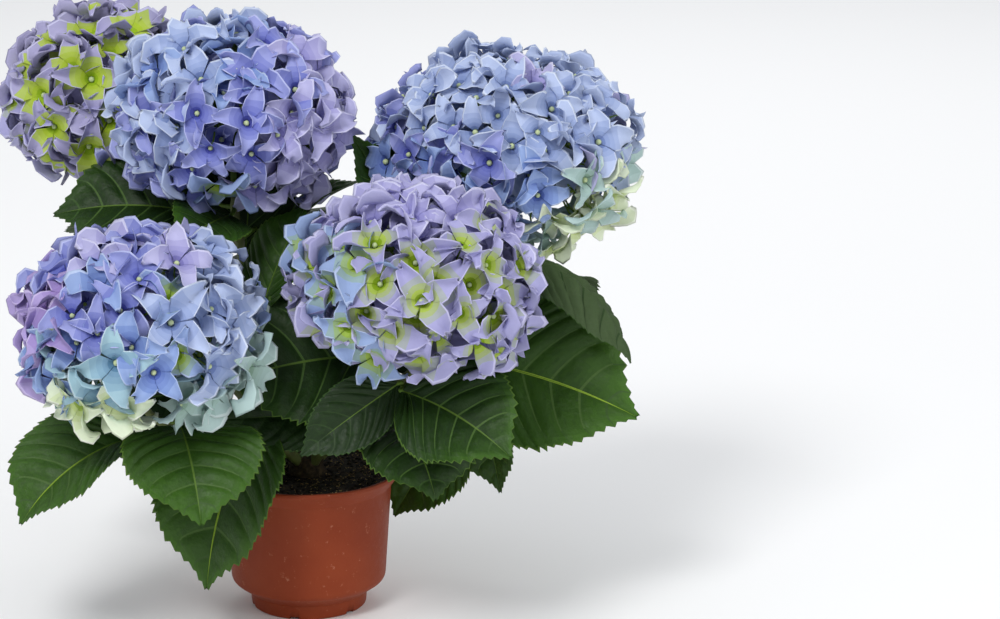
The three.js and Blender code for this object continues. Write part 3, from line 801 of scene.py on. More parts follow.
CANE_LINES = {
    name: evened(curve(cane_line(head), np.linspace(0, 1, 200)), np.linspace(0, 1, 120))
    for name, head in BLOOMS.items()
}
for name, line in CANE_LINES.items():
    print(name, "cane is", round(np.linalg.norm(np.diff(line, axis=0), axis=1).sum()), "mm long")

# %% Bark and green bark
stem_material, stem_shader = principled("split_bark", rough=0.9)
stem_nodes = stem_material.node_tree.nodes
stem_links = stem_material.node_tree.links
fissures = noise(stem_nodes, stem_links, 240, 8, 0.7)
# the browns are painted darker than the bark's own, as painted shade: the stem stands in the shade
# of the leaves
stem_links.new(ramp(stem_nodes, stem_links, fissures, (0.36, rgb(30, 23, 15)),
                    (0.5, rgb(62, 50, 32)), (0.68, rgb(104, 88, 60))),
               stem_shader.inputs["Base Color"])
bumped(stem_nodes, stem_links, stem_shader, fissures, 0.001, 0.8)

cane_material, cane_shader = principled("green_bark", rough=0.6)
cane_nodes = cane_material.node_tree.nodes
cane_links = cane_material.node_tree.links
blotches = noise(cane_nodes, cane_links, 60, 4)
specks = noise(cane_nodes, cane_links, 700, 3, 0.6)
green = ramp(cane_nodes, cane_links, blotches, (0.32, rgb(72, 74, 36)), (0.66, rgb(104, 118, 56)))
speck = ramp(cane_nodes, cane_links, specks, (0.62, 0.0), (0.7, 0.8))
cane_links.new(mixed(cane_nodes, cane_links, speck, green, rgb(84, 62, 40)),
               cane_shader.inputs["Base Color"])
bumped(cane_nodes, cane_links, cane_shader, specks, 0.0003, 0.5)
print("split bark has", len(stem_nodes), "nodes and green bark has", len(cane_nodes))

# %% Stem
STEM_SIDES = 72
STEM_RINGS = 26
BARK = {"depth": 1.3, "cracks": 1.5, "flakes": 0.5}


def stem_ring(up):
    """Ring of points at `up` of the stem's height, with the relief of its bark."""
    base = np.interp(up, [0, 0.35, 0.8, 1], [STEM["foot"], STEM["neck"], STEM["neck"], STEM["top"]])
    angle = np.linspace(0, 2 * np.pi, STEM_SIDES, endpoint=False)
    z = SOIL_TOP + 0.3 + up * STEM["height"]
    cracks = np.abs(waves(angle * 9, up * 2.2 + angle, angle * 0, 2.6)) ** 0.7
    flakes = waves(angle * 14, np.full_like(angle, up * 17), angle * 5, 9)
    radius = base - BARK["depth"] + BARK["cracks"] * cracks + BARK["flakes"] * flakes
    height = np.full_like(angle, z)
    return np.stack([radius * np.cos(angle), radius * np.sin(angle), height], axis=1)


stem_parts = Gatherer()
stem_points = np.concatenate([stem_ring(up) for up in np.linspace(0, 1, STEM_RINGS)])
last_ring = (STEM_RINGS - 1) * STEM_SIDES
caps = [np.arange(STEM_SIDES)[::-1], last_ring + np.arange(STEM_SIDES)]
stem_parts.add(stem_points, (grid_faces(STEM_RINGS, STEM_SIDES, around=True), 0), (caps, 0))
settle(placed("woody_stem", stem_parts.mesh("woody_stem", [stem_material])), "stem", "short_stem")

# %% Canes
CANE_SIDES = 20
JOINT = {"reach": 3.0, "swelling": 0.3}
RIDGES = [(0.05, 2.6), (0.04, 9)]   # (height as a part of the radius, length of the waves)
cane_parts = Gatherer()
for name, line in CANE_LINES.items():
    way = np.linspace(0, 1, len(line))
    radius = CANE["foot"] + (CANE["tip"] - CANE["foot"]) * way
    length = np.linalg.norm(np.diff(line, axis=0), axis=1).sum()
    joints = [leaf[1] for leaf in LEAVES.values() if leaf[0] == name]
    swell = sum(np.exp(-(((way - joint) * length / JOINT["reach"]) ** 2)) for joint in joints)
    radius = radius * (1 + JOINT["swelling"] * np.minimum(swell, 1))
    points, faces, ends = tube(line, radius, CANE_SIDES)
    middle = np.repeat(line, CANE_SIDES, axis=0)
    ridges = 1 + sum(height * waves(*points.T, grain) for height, grain in RIDGES)
    cane_parts.add(middle + (points - middle) * ridges[:, None], (faces, 0), (ends, 0))
settle(placed("green_canes", cane_parts.mesh("green_canes", [cane_material])), "cane",
       *[f"cane_{name}" for name in BLOOMS])

# %% [markdown]
# ## Leaves
# A hydrangea leaf is broad and pointed, with a toothed edge. Its side veins leave the midrib
# and sweep forward to the teeth, and the blade is puffed up between them. The blade is a grid
# whose rows run along the side veins, so that a narrow row of faces can take the paler colour
# of a vein, and the rows between can be raised into puckers. Colours are plain paints dealt out
# face by face: they stay put in an exported model, where a painted image would smear. Young
# leaves and leaf tips are the fresher green. Leaves in the deep shade of the plant's middle are
# painted in the darkest greens, with dark veins: this darkness is painted shade.

# %% Paints for leaves


def leaf_paint(name, color, rough):
    """Leaf material: a plain colour, with fine wrinkles and gloss that varies a little."""
    material, shader = principled(name, color, rough)
    nodes = material.node_tree.nodes
    links = material.node_tree.links
    shader.inputs["Specular IOR Level"].default_value = 0.22
    wrinkle = noise(nodes, links, 240, 5, 0.6)
    bumped(nodes, links, shader, wrinkle, 0.0012, 0.7)
    links.new(ramp(nodes, links, wrinkle, (0.3, rough - 0.08), (0.7, rough + 0.1)),
              shader.inputs["Roughness"])
    return material


LEAF_GREENS = 11
# the darkest greens also serve as painted shade on the leaves deep in the plant's middle
LEAF_DARKEST = (27, 47, 18)
LEAF_LIGHTEST = (62, 100, 26)
LEAF_PAINTS = [
    leaf_paint(f"leaf_green_{i}", rgb(*(a + (b - a) * i / (LEAF_GREENS - 1)
                                        for a, b in zip(LEAF_DARKEST, LEAF_LIGHTEST))), 0.42)
    for i in range(LEAF_GREENS)
] + [
    leaf_paint("leaf_under", rgb(62, 80, 48), 0.7),
    leaf_paint("leaf_vein", rgb(54, 82, 34), 0.5),
    leaf_paint("leaf_pale_vein", rgb(70, 98, 44), 0.5),
    leaf_paint("leaf_pale_rib", rgb(84, 112, 44), 0.5),
    leaf_paint("leaf_midrib", rgb(134, 164, 46), 0.5),
    leaf_paint("leaf_edge", rgb(74, 104, 34), 0.5),
    leaf_paint("leaf_stalk", rgb(90, 118, 40), 0.5),
    # painted shade: dark veins and ribs for leaves in deep shade and for the drooping leaf's
    # grooves
    leaf_paint("leaf_painted_shade_vein", rgb(40, 62, 27), 0.5),
]
(UNDER, VEIN, PALE_VEIN, PALE_RIB, MIDRIB, EDGE, STALK,
 PAINTED_SHADE_VEIN) = range(LEAF_GREENS, len(LEAF_PAINTS))
print(len(LEAF_PAINTS), "paints for leaves")

# %% Rows of a blade along its side veins
SWEEP = 0.46                    # how far a vein runs ahead on its way to the edge
VEIN_STARTS = [0.05, 0.18, 0.33, 0.49, 0.66, 0.82]
FAN_VEINS = [0.2, 0.36]         # places at the edge of the veins that leave the blade's foot
VEIN_AT_RIB = 0.0042            # half width of a vein at the midrib, and at the edge
VEIN_AT_EDGE = 0.0012
FAN_OPENING = 0.03              # how far the rows of the fan are apart at the midrib
TOOTH = [1.0, 0.05, 0.3, 0.65]  # a tooth's height at its four rows: a tip, then a slow rise
TOOTH_LENGTH = 0.05
ACROSS = [0.0, 0.016, 0.09, 0.19, 0.3, 0.41, 0.52, 0.63, 0.74, 0.86, 0.972, 1.0]


def blade_rows():
    """Rows of a blade: (place at the midrib, place at the edge, part of the pucker, tooth)."""
    ends = FAN_VEINS + [start + SWEEP * (1 - start) for start in VEIN_STARTS]
    stops = [0.0, *ends, 1.0]
    columns = ([], [], [], [])
    for low, high in zip(stops, stops[1:]):
        count = len(TOOTH) * max(1, round((high - low) / TOOTH_LENGTH))
        part = np.linspace(0, 1, count + 1)
        for column, gap in zip(columns, (VEIN_AT_RIB, VEIN_AT_EDGE)):
            first = low + (gap if low > 0 else 0)
            last = high - (gap if high < 1 else 0)
            column += list(first + part * (last - first))
        columns[2].extend(part)
        columns[3].extend([TOOTH[i % len(TOOTH)] for i in range(count)] + [1.0])
    ribs, edges, puckers, teeth = (np.array(column) for column in columns)
    starts = np.where(ribs > SWEEP, (ribs - SWEEP) / (1 - SWEEP), 0.0)
    starts = np.maximum(starts, FAN_OPENING * np.minimum(ribs / SWEEP, 1))
    return starts, edges, puckers, teeth


ROW_STARTS, ROW_ENDS, ROW_PUCKERS, ROW_TEETH = blade_rows()
print(len(ROW_ENDS), "rows along a leaf and", 2 * len(ACROSS) - 1, "points across it")

# %% Shape of a blade
BROADEST = 0.82                 # below 1 the blade is broadest nearer its foot
FULLNESS = 0.78                 # below 1 its foot is rounder
TIP = (0.45, 0.74, 0.97)        # it loses this part of its width between these places


def blade_shape(s):
    """Half width at `s` along a leaf, as a part of the greatest half width."""
    body = np.sin(np.pi * np.clip(s, 0, 1) ** BROADEST) ** FULLNESS
    narrower, start, end = TIP
    return body * (1 - narrower * smoothstep(s, start, end))


def blade_axes(bearing, pitch, turn):
    """Unit vectors along, across and out of a blade for each of its pitches."""
    b, q = math.radians(bearing), math.radians(turn)
    pitch = np.radians(np.atleast_1d(pitch))
    along = np.stack([np.cos(pitch) * math.cos(b), np.cos(pitch) * math.sin(b), np.sin(pitch)], 1)
    across = np.broadcast_to((-math.sin(b), math.cos(b), 0.0), along.shape)
    side = across * math.cos(q) + np.cross(along, across) * math.sin(q)
    return along, side, np.cross(along, side)


STALK_RINGS = 14


class Leaf:
    """One leaf: its stalk's line and the line and axes of its blade, in millimetres."""

    STEPS = 160

    def __init__(self, cane, at, bearing, stalk, rise, length, width, pitch, droop, more):
        swing = more.get("swing", 0)
        self.length = length
        self.width = width
        self.fold = math.tan(math.radians(more.get("fold", FOLD)))
        root = evened(CANE_LINES[cane], [at])[0]
        away = blade_axes(bearing, rise, 0)[0][0]
        self.base = root + away * stalk
        self.places = np.linspace(0, 1, self.STEPS)
        self.along, self.side, self.out = blade_axes(
            bearing + swing, pitch - droop * self.places, more.get("turn", 0))
        steps = (self.along[1:] + self.along[:-1]) / 2 * length / (self.STEPS - 1)
        self.line = self.base + np.concatenate([[[0, 0, 0]], np.cumsum(steps, axis=0)])
        first = root + 0.4 * stalk * away
        second = self.base - 0.35 * stalk * self.along[0]
        self.stalk = curve((root, first, second, self.base), np.linspace(0, 1, STALK_RINGS))

    def at(self, rows, s):
        """Values of one of the leaf's lines at the places s."""
        return np.stack([np.interp(s, self.places, rows[:, i]) for i in range(3)], axis=-1)


print("the left low leaf's tip is at", [round(v) for v in Leaf(*LEAVES["left_low"]).line[-1]])

# %% A leaf's teeth and puckers
FULL_TURN = 6.28
TOOTH_SIZE = 0.026              # length of a tooth, as a part of the leaf's width
TOOTH_LEAN = 0.85               # how far a tooth points ahead, as a part of its length
TOOTH_CHANCE = (0.5, 1.25)
FULL_HALF = 30                  # half width at which a leaf's puckers reach their full height
CELL_HEIGHT = 0.42              # height of the fine wrinkles, as a part of the puckers' height
CELL_MIDDLE = 0.6
EDGE_WAVES = 9                  # waves of the edge, in radians along the leaf
DENTS = (0.6, 21)               # height and length of the dents that cross the veins
BLADE_THICKNESS = 0.45


def leaf_teeth(leaf, rng, v, s):
    """How far the teeth stand out past a leaf's outline, at the places v across and s along."""
    number = np.cumsum(ROW_TEETH == TOOTH[1])
    strength = rng.uniform(*TOOTH_CHANCE, (number[-1] + 1, 2))[number]
    strength = np.where(v > 0, strength[:, :1], strength[:, 1:])
    tooth = ROW_TEETH[:, None] * smoothstep(np.abs(v), 0.9, 1) * smoothstep(s, 0.03, 0.15)
    return tooth * (leaf.width * TOOTH_SIZE * (1 - 0.45 * smoothstep(s, 0.8, 1)) * strength)


def leaf_lift(leaf, rng, v, s, u, half, puff, curl):
    """How far a leaf's upper side stands out: puckers, fine wrinkles, fold and wavy edge."""
    reach = np.abs(v)
    pucker = np.sin(np.pi * ROW_PUCKERS)[:, None] ** 0.8
    body = smoothstep(reach, 0.005, 0.16) * (1 - 0.75 * smoothstep(reach, 0.7, 1))
    lift = puff * pucker * body * np.minimum(half / FULL_HALF, 1)
    cells = np.abs(np.sin(reach * half / FULL_HALF * 15 + s * 7 + (v > 0)))
    lift = lift + CELL_HEIGHT * puff * (cells - CELL_MIDDLE) * pucker * body
    lift = lift + leaf.fold * np.abs(v * half)
    phase = rng.uniform(0, FULL_TURN, 2)
    side_phase = np.where(v > 0, phase[0], phase[1])
    lift = lift + curl * np.sin(EDGE_WAVES * s + side_phase) * reach**2 * (half / FULL_HALF)
    height, grain = DENTS
    return lift + height * waves(u, s * leaf.length, reach * 0 + phase[0] * 20, grain) * body


print("a leaf has", np.count_nonzero(ROW_TEETH == TOOTH[1]), "teeth along each side")

# %% Grid of a leaf


def leaf_grid(leaf, rng, puff, curl):
    """Grid of points of a leaf's upper side, and each point's place along and across."""
    v = np.concatenate([ACROSS[:0:-1], -np.array(ACROSS)])
    reach = np.abs(v)
    s = ROW_STARTS[:, None] + (ROW_ENDS - ROW_STARTS)[:, None] * (0.7 * reach + 0.3 * reach**2)
    half = np.maximum(leaf.width / 2 * blade_shape(s), 0.5)
    teeth = leaf_teeth(leaf, rng, v, s)
    u = v * half + np.sign(v) * teeth
    lift = leaf_lift(leaf, rng, v, s, u, half, puff, curl)
    ahead = TOOTH_LEAN * teeth
    place = leaf.at(leaf.line, s) + leaf.at(leaf.along, s) * ahead[..., None]
    grid = place + leaf.at(leaf.side, s) * u[..., None] + leaf.at(leaf.out, s) * lift[..., None]
    return grid, s, reach


sample = leaf_grid(Leaf(*LEAVES["left_low"]), np.random.default_rng(0), 0, 0)[0]
print("the left low leaf is", round(np.ptp(sample[..., 2])), "mm from its highest to its lowest")

# %% A leaf's paints and midrib
FRESH = (0.55, 1.25)            # the green turns from the main to the tip's between these places
EDGE_FRESHER = 0.35             # the edge counts as this much further along
PATCHES = (0.35, 34)            # strength and size of patches of another green
PAINT_CHANCE = 0.25
MIDRIB_REACH = (0.02, 0.94)
MIDRIB_RINGS = 22
MIDRIB_DEPTH = (1.0, 0.4)       # how deep the midrib lies under the blade, at its foot and tip
STALK_RADII = (1.9, 1.5)
MIDRIB_RADII = (1.35, 0.35)


def leaf_faces_paint(s, reach, main, tip, rib, rng):
    """Paint of each upper face of a leaf: green from `main` to `tip`, or pale as its back."""
    middle = (s[:-1, :-1] + s[1:, 1:]) / 2
    far = np.broadcast_to((reach[:-1] + reach[1:]) / 2, middle.shape)
    fresh = smoothstep(middle + EDGE_FRESHER * far**2, *FRESH)
    strength, size = PATCHES
    patch = strength * waves(middle * 100, far * 60, rng.uniform(0, 99), size)
    if main is None:
        paint = np.full(middle.shape, UNDER)
    else:
        chance = rng.uniform(-PAINT_CHANCE, PAINT_CHANCE, middle.shape)
        green = main + (tip - main) * fresh + patch + chance
        paint = np.clip(np.round(2 * green), 0, LEAF_GREENS - 1).astype(int)
    vein = (np.diff(ROW_PUCKERS) < -0.5)[:, None]
    # leaves in deep shade, and the one that turns its back up, get dark veins and a dark edge:
    # painted shade
    shaded = main is None or tip < 1
    paint[vein & (far < 0.93)] = PAINTED_SHADE_VEIN if shaded else VEIN
    if not shaded:
        paint[vein & (far < 0.7) & (middle < 0.8)] = PALE_VEIN
    paint[far > 0.98] = VEIN if shaded else EDGE
    paint[far < 0.01] = rib
    return paint.ravel()


def add_leaf(parts, leaf, rng, main, tip, rib, puff=1.8, curl=2.6):
    """Adds a leaf's blade, and its stalk running on under it as the midrib."""
    grid, s, reach = leaf_grid(leaf, rng, puff, curl)
    points, top, under = blade(grid, BLADE_THICKNESS)
    parts.add(points, (top, leaf_faces_paint(s, reach, main, tip, rib, rng)), (under, UNDER))
    places = np.linspace(*MIDRIB_REACH, MIDRIB_RINGS)
    depth = np.linspace(*MIDRIB_DEPTH, MIDRIB_RINGS)[:, None]
    midrib = leaf.at(leaf.line, places) - leaf.at(leaf.out, places) * depth
    radii = np.concatenate([np.linspace(*STALK_RADII, STALK_RINGS),
                            np.linspace(*MIDRIB_RADII, MIDRIB_RINGS)])
    points, faces, ends = tube(np.concatenate([leaf.stalk, midrib]), radii, 8)
    skin = UNDER if main is None else STALK
    parts.add(points, (faces, skin), (ends, skin))


print("a leaf's blade has", 4 * (len(ROW_ENDS) - 1) * (len(ACROSS) - 1), "faces on both sides")

# %% All the leaves
# name: (green of the blade, green of its tip, paint of its rib, height of its puckers);
# greens run from 0, dark, to 5, and a leaf without them turns its pale back up. The leaves
# with greens near 0 and dark ribs (front_shade, cane_shade, middle_shade, behind_stem,
# behind_cane) sit in the deep shade of the plant's middle, and their darkness is painted shade.
LEAF_LOOK = {
    "rim_front_right": (0.3, 2.0, PALE_RIB),
    "pot_front_left": (2.2, 4.4, MIDRIB),
    "left_low": (3.2, 4.2, MIDRIB),
    "under_front_left": (3.0, 4.6, PALE_RIB),
    "right_large": (2.8, 4.8, MIDRIB),
    "upright_middle": (2.6, 4, PALE_RIB),
    "under_front_right": (0.8, 4, PALE_RIB),
    "middle_front": (0.6, 2.4, PALE_RIB),
    "upper_left": (0.6, 2.0, PALE_RIB),
    "right_drooping": (None, None, UNDER, 5.5),
    "front_shade": (0.2, 0.6, PAINTED_SHADE_VEIN),
    "cane_shade": (0, 0.3, PAINTED_SHADE_VEIN),
    "behind_right": (2.4, 3.4, PALE_RIB),
    "middle_shade": (0, 0.5, VEIN),
    "behind_stem": (0, 0.5, VEIN),
    "behind_cane": (0, 0.5, VEIN),
}


def leaves_piece(name, canes, seed):
    """One piece with all leaves of some canes."""
    rng = np.random.default_rng(seed)
    parts = Gatherer()
    nodes = []
    for leaf_name, sizes in LEAVES.items():
        if sizes[0] not in canes:
            continue
        plain = (rng.uniform(0.6, 2.2), rng.uniform(2.5, 4.5), PALE_RIB)
        add_leaf(parts, Leaf(*sizes), rng, *LEAF_LOOK.get(leaf_name, plain))
        nodes.append(f"leaf_{leaf_name}")
    settle(placed(name, parts.mesh(name, LEAF_PAINTS)), "leaf", *nodes)


leaves_piece("front_leaves", ("front_left", "front_right"), 3)
leaves_piece("right_leaves", ("right",), 5)
leaves_piece("back_leaves", ("top", "back_left"), 8)

# %% [markdown]
# ## Florets
# What looks like a petal is a sepal: four of them, now and then three or five, stand round a
# bead, the closed true flower. Each overlaps its neighbours at the foot, so that they make a
# shallow funnel, and then narrows to a point with turned-up edges. A floret is built from
# closed blades like the leaves. A dozen or so different ones are enough, because each is spun,
# tilted and sized on its own. The faces remember their zone, from the heart to the rim, so that
# every tint can deal out its own shades. The heart and inner zones are darker, partly their own
# colour and partly painted shade of the funnel; the paler rim is partly the sepal's own pale
# edge and partly a painted highlight where the turned-up edges catch the light. The paints
# shine very little, because a gloss would turn soft petals into plastic.

# %% Paints for florets


def petal_paint(name, color):
    """Petal material: a plain colour with a faintly cellular, satin surface."""
    material, shader = principled(name, color, 0.6)
    nodes = material.node_tree.nodes
    links = material.node_tree.links
    shader.inputs["Specular IOR Level"].default_value = 0.2
    grain = noise(nodes, links, 420, 4, 0.55)
    bumped(nodes, links, shader, grain, 0.0006, 0.4)
    links.new(ramp(nodes, links, grain, (0.3, 0.52), (0.7, 0.7)), shader.inputs["Roughness"])
    return material


HEART, INNER, BLEND, MIDDLE, OUTER, RIM, BEAD = range(7)
# name: colours of the heart, inner, middle and outer zones and of the rim; the blend zone is
# half way between inner and middle. The darker heart and inner colours are partly the tint's own
# and partly painted shade of the floret's funnel; the pale rim is partly a painted highlight
TINTS = {
    "blue": [(80, 100, 170), (106, 128, 188), (126, 149, 201), (146, 167, 211), (178, 194, 226)],
    "violet": [(78, 84, 168), (106, 114, 186), (128, 135, 197), (149, 155, 208), (180, 186, 228)],
    "lilac": [(120, 116, 176), (144, 141, 194), (165, 162, 206), (180, 178, 216), (202, 201, 231)],
    "purple": [(122, 92, 166), (150, 126, 188), (164, 144, 200), (174, 158, 208), (198, 184, 226)],
    "sky": [(94, 134, 164), (122, 158, 184), (142, 176, 194), (158, 190, 202), (188, 210, 220)],
    "pale": [(114, 132, 182), (140, 157, 200), (160, 175, 212), (178, 191, 222), (204, 214, 234)],
    "aqua": [(140, 168, 150), (158, 184, 174), (168, 193, 188), (178, 201, 198), (202, 217, 216)],
    "milk": [(166, 190, 88), (196, 212, 142), (214, 226, 184), (222, 232, 204), (232, 238, 220)],
    "green_blue": [(128, 160, 34), (156, 184, 76), (144, 168, 170), (144, 164, 204),
                   (176, 192, 224)],
    "green_lilac": [(136, 166, 30), (166, 188, 78), (164, 170, 172), (166, 164, 206),
                    (194, 192, 226)],
    "lime": [(146, 178, 30), (166, 190, 50), (176, 194, 98), (168, 164, 200), (190, 188, 220)],
}
TINT_NAMES = list(TINTS)
PETAL_PAINTS = []
for tint, (heart, inner, middle, outer, rim) in TINTS.items():
    blend = tuple((a + b) / 2 for a, b in zip(inner, middle))
    for zone, color in enumerate((heart, inner, blend, middle, outer, rim)):
        PETAL_PAINTS.append(petal_paint(f"petal_{tint}_{zone}", rgb(*color)))
PETAL_PAINTS.append(petal_paint("floret_bead", rgb(196, 210, 160)))
print(len(PETAL_PAINTS), "paints for", len(TINTS), "tints of floret")

# %% Outline and zones of a sepal
SEPAL_PLACES = np.array([0, 0.1, 0.2, 0.31, 0.43, 0.56, 0.69, 0.81, 0.92, 1.0])
SEPAL_ACROSS = np.array([1, 0.89, 0.5, 0, -0.5, -0.89, -1])
# half width of a sepal at even steps along it, as a part of its greatest half width
SEPAL_OUTLINE = [0.3, 0.66, 0.94, 1.0, 0.95, 0.82, 0.64, 0.47, 0.35, 0.23, 0.08]
# a zone reaches out along the sepal to this part of its length
ZONE_ENDS = {HEART: 0.18, INNER: 0.3, BLEND: 0.42, MIDDLE: 0.6}
RIM_START = 0.4


def sepal_zones():
    """Zone of each upper face of a sepal, from its foot to its tip."""
    middle = (SEPAL_PLACES[:-1] + SEPAL_PLACES[1:]) / 2
    zones = np.full((len(middle), len(SEPAL_ACROSS) - 1), OUTER)
    for zone, end in reversed(ZONE_ENDS.items()):
        zones[middle < end] = zone
    # rim faces: a pale edge, partly a painted highlight on the turned-up edges
    zones[middle > RIM_START, 0] = zones[middle > RIM_START, -1] = RIM
    zones[-1] = RIM
    return zones


print("faces of a sepal in each zone:", np.bincount(sepal_zones().ravel()))

# %% One sepal
SEPAL_STEPS = 50
BEAD_ROOM = 0.6                 # how far from the floret's middle a sepal starts
FOOT_SPREAD = 0.82              # half the angle that a sepal's foot takes up round the bead
CURL_CHANCE = 0.9               # spread of the two edges' curl, as a part of it
RIPPLE_WAVES = (7, 12)          # waves of the edges, in radians along the sepal
KEEL = 1.3                      # how deep the sepal's middle line is pressed in
TWIST = 34                      # spread of the twist of a sepal's tip, in degrees
SIDEWAYS = 2.5                  # spread of the way that its tip leans aside


def sepal_lift(t, v, curl, ripple, rng):
    """How far a sepal's upper side stands out: curled and rippled edges and a pressed keel."""
    rise = np.where(v > 0, *rng.normal(curl, CURL_CHANCE * curl, 2))
    phase = rng.uniform(*RIPPLE_WAVES) * t + rng.uniform(0, FULL_TURN)
    wave = ripple * np.sin(phase + 1.4 * v)
    edge = np.abs(v) ** 2 * smoothstep(t, 0.28, 0.55) * (1 - 0.5 * smoothstep(t, 0.75, 1))
    keel = (1 - v * v) ** 2 * smoothstep(t, 0.25, 0.5) * (1 - smoothstep(t, 0.6, 0.9))
    return edge * (rise + wave) - KEEL * keel


def sepal_grid(length, half_width, slopes, curl, ripple, rng):
    """Upper side of a sepal that leaves the floret's middle along +X."""
    way = np.linspace(0, 1, SEPAL_STEPS)
    slope = np.radians(np.interp(way, np.linspace(0, 1, len(slopes)), slopes))
    step = length / (SEPAL_STEPS - 1)
    r_line = BEAD_ROOM + np.concatenate([[0], np.cumsum(np.cos(slope[1:]))]) * step
    z_line = np.concatenate([[0], np.cumsum(np.sin(slope[1:]))]) * step
    t = SEPAL_PLACES[:, None]
    v = SEPAL_ACROSS[None, :]
    r = np.interp(t, way, r_line)
    z = np.interp(t, way, z_line)
    lean = np.interp(t, way, slope)
    outline = np.interp(t, np.linspace(0, 1, len(SEPAL_OUTLINE)), SEPAL_OUTLINE)
    u = v * half_width * outline
    around = v * np.minimum(half_width * outline / r, FOOT_SPREAD)
    free = smoothstep(t, 0.3, 0.75)
    x = r * (free + (1 - free) * np.cos(around))
    y = u * free + r * np.sin(around) * (1 - free)
    lift = sepal_lift(t, v, curl, ripple, rng)
    twist = np.radians(rng.normal(0, TWIST)) * t**2
    side = y * np.cos(twist * free) - lift * np.sin(twist)
    lift = u * np.sin(twist * free) + lift * np.cos(twist)
    side = side + rng.normal(0, SIDEWAYS) * t**2
    return np.stack([x - lift * np.sin(lean), side, z + lift * np.cos(lean)], axis=-1)


print("a sepal has", SEPAL_PLACES.size * SEPAL_ACROSS.size, "points on its upper side")

# %% One floret
BALL_SIDES = 7
BALL_ROWS = (-0.8, -0.1, 0.65)  # heights of its rings, as parts of its radius
BEAD_SIZE = (2.2, 2.6)          # radius of the bead and height of its middle
SEPAL_COUNTS = [4, 4, 4, 4, 4, 4, 3, 5]
OVERLAP = 0.9                   # how far every other sepal lies over its neighbours
SEPAL_THICKNESS = (0.34, 0.2)   # at its foot, and how much less at its tip


def ball(radius, height):
    """Small closed ball on the floret's axis: (points, bands, caps)."""
    rows = []
    for up in BALL_ROWS:
        angle = np.linspace(0, 2 * np.pi, BALL_SIDES, endpoint=False)
        ring = radius * math.sqrt(1 - up * up)
        rows.append(np.stack([ring * np.cos(angle), ring * np.sin(angle),
                              np.full(BALL_SIDES, height + radius * up)], axis=1))
    peak = len(rows) * BALL_SIDES
    last = peak - BALL_SIDES
    top = [(last + i, last + (i + 1) % BALL_SIDES, peak) for i in range(BALL_SIDES)]
    foot = [tuple(range(BALL_SIDES))[::-1]]
    points = np.concatenate([*rows, [[0, 0, height + radius]]])
    return points, grid_faces(len(rows), BALL_SIDES, around=True), top, foot


def sepal_slopes(cup, tip, rng):
    """Slopes along a sepal in degrees: up from the foot, level, then down at the tip."""
    return (cup, cup, 0.55 * cup, 0.25 * cup + rng.normal(0, 8), rng.normal(tip / 3, 14),
            rng.normal(tip, 22), rng.normal(1.6 * tip, 30))


def add_floret(parts, rng, length, broad, cup, tip, curl, ripple):
    """Adds the sepals and the bead of a floret that opens towards +Z."""
    count = rng.choice(SEPAL_COUNTS)
    start = rng.uniform(0, 360)
    cup = cup + rng.normal(0, 6)
    broad = broad * rng.uniform(0.9, 1.12) * 4 / max(count, 4)
    thick, thinner = SEPAL_THICKNESS
    for i in range(count):
        slopes = sepal_slopes(cup, tip, rng)
        reach = length * rng.uniform(0.88, 1.1)
        grid = sepal_grid(reach, broad * reach, slopes, curl, ripple, rng)
        grid[..., 2] += OVERLAP * (i % 2) * smoothstep(SEPAL_PLACES, 0, 0.25)[:, None]
        turn = math.radians(start + 360 * i / count + rng.normal(0, 5))
        spin = np.array([[math.cos(turn), -math.sin(turn), 0],
                         [math.sin(turn), math.cos(turn), 0], [0, 0, 1]])
        points, top, under = blade(grid @ spin.T, thick - thinner * SEPAL_PLACES[:, None] ** 2)
        parts.add(points, (top, sepal_zones().ravel()), (under, OUTER))
    points, bands, top, foot = ball(*BEAD_SIZE)
    parts.add(points, (bands, BEAD), (top, BEAD), (foot, BEAD))


print("a bead has", len(ball(*BEAD_SIZE)[0]), "points")

# %% Sets of florets
# cup and tip are the slopes of a sepal near its foot and at its tip, in degrees


def floret_set(name, count, seed, **shape):
    """Collection of different florets, kept out of the scene."""
    rng = np.random.default_rng(seed)
    collection = bpy.data.collections.new(name)
    for i in range(count):
        parts = Gatherer()
        add_floret(parts, rng, **shape)
        collection.objects.link(
            bpy.data.objects.new(f"{name}_{i:02d}", parts.mesh(name, [], zones=True)))
    return collection


POINTED = floret_set("pointed_florets", 16, 11, length=32, broad=0.34, cup=50, tip=-38, curl=3.8,
                     ripple=2.6)
ROUNDED = floret_set("rounded_florets", 12, 12, length=29, broad=0.4, cup=44, tip=-30, curl=3.2,
                     ripple=2.3)

# %% [markdown]
# ## Heads
# The florets of a head sit on a low dome, nearly evenly, like seeds on a ball. Their places are
# turned round by the golden angle, each a little off, and the underside stays open. A head isn't
# all of one colour: each tint is stronger towards one side, and a floret takes the one that is
# strongest where it sits, give or take some chance. Two heads have a tuft of pale florets that
# hang out on longer stalks. The Geometry Nodes tree picks a floret for each place, faces it
# outward and spins, tilts and sizes it by its seed. Real florets would crowd a head to its
# middle, but only those of the outer layers can be seen, so there are two layers.

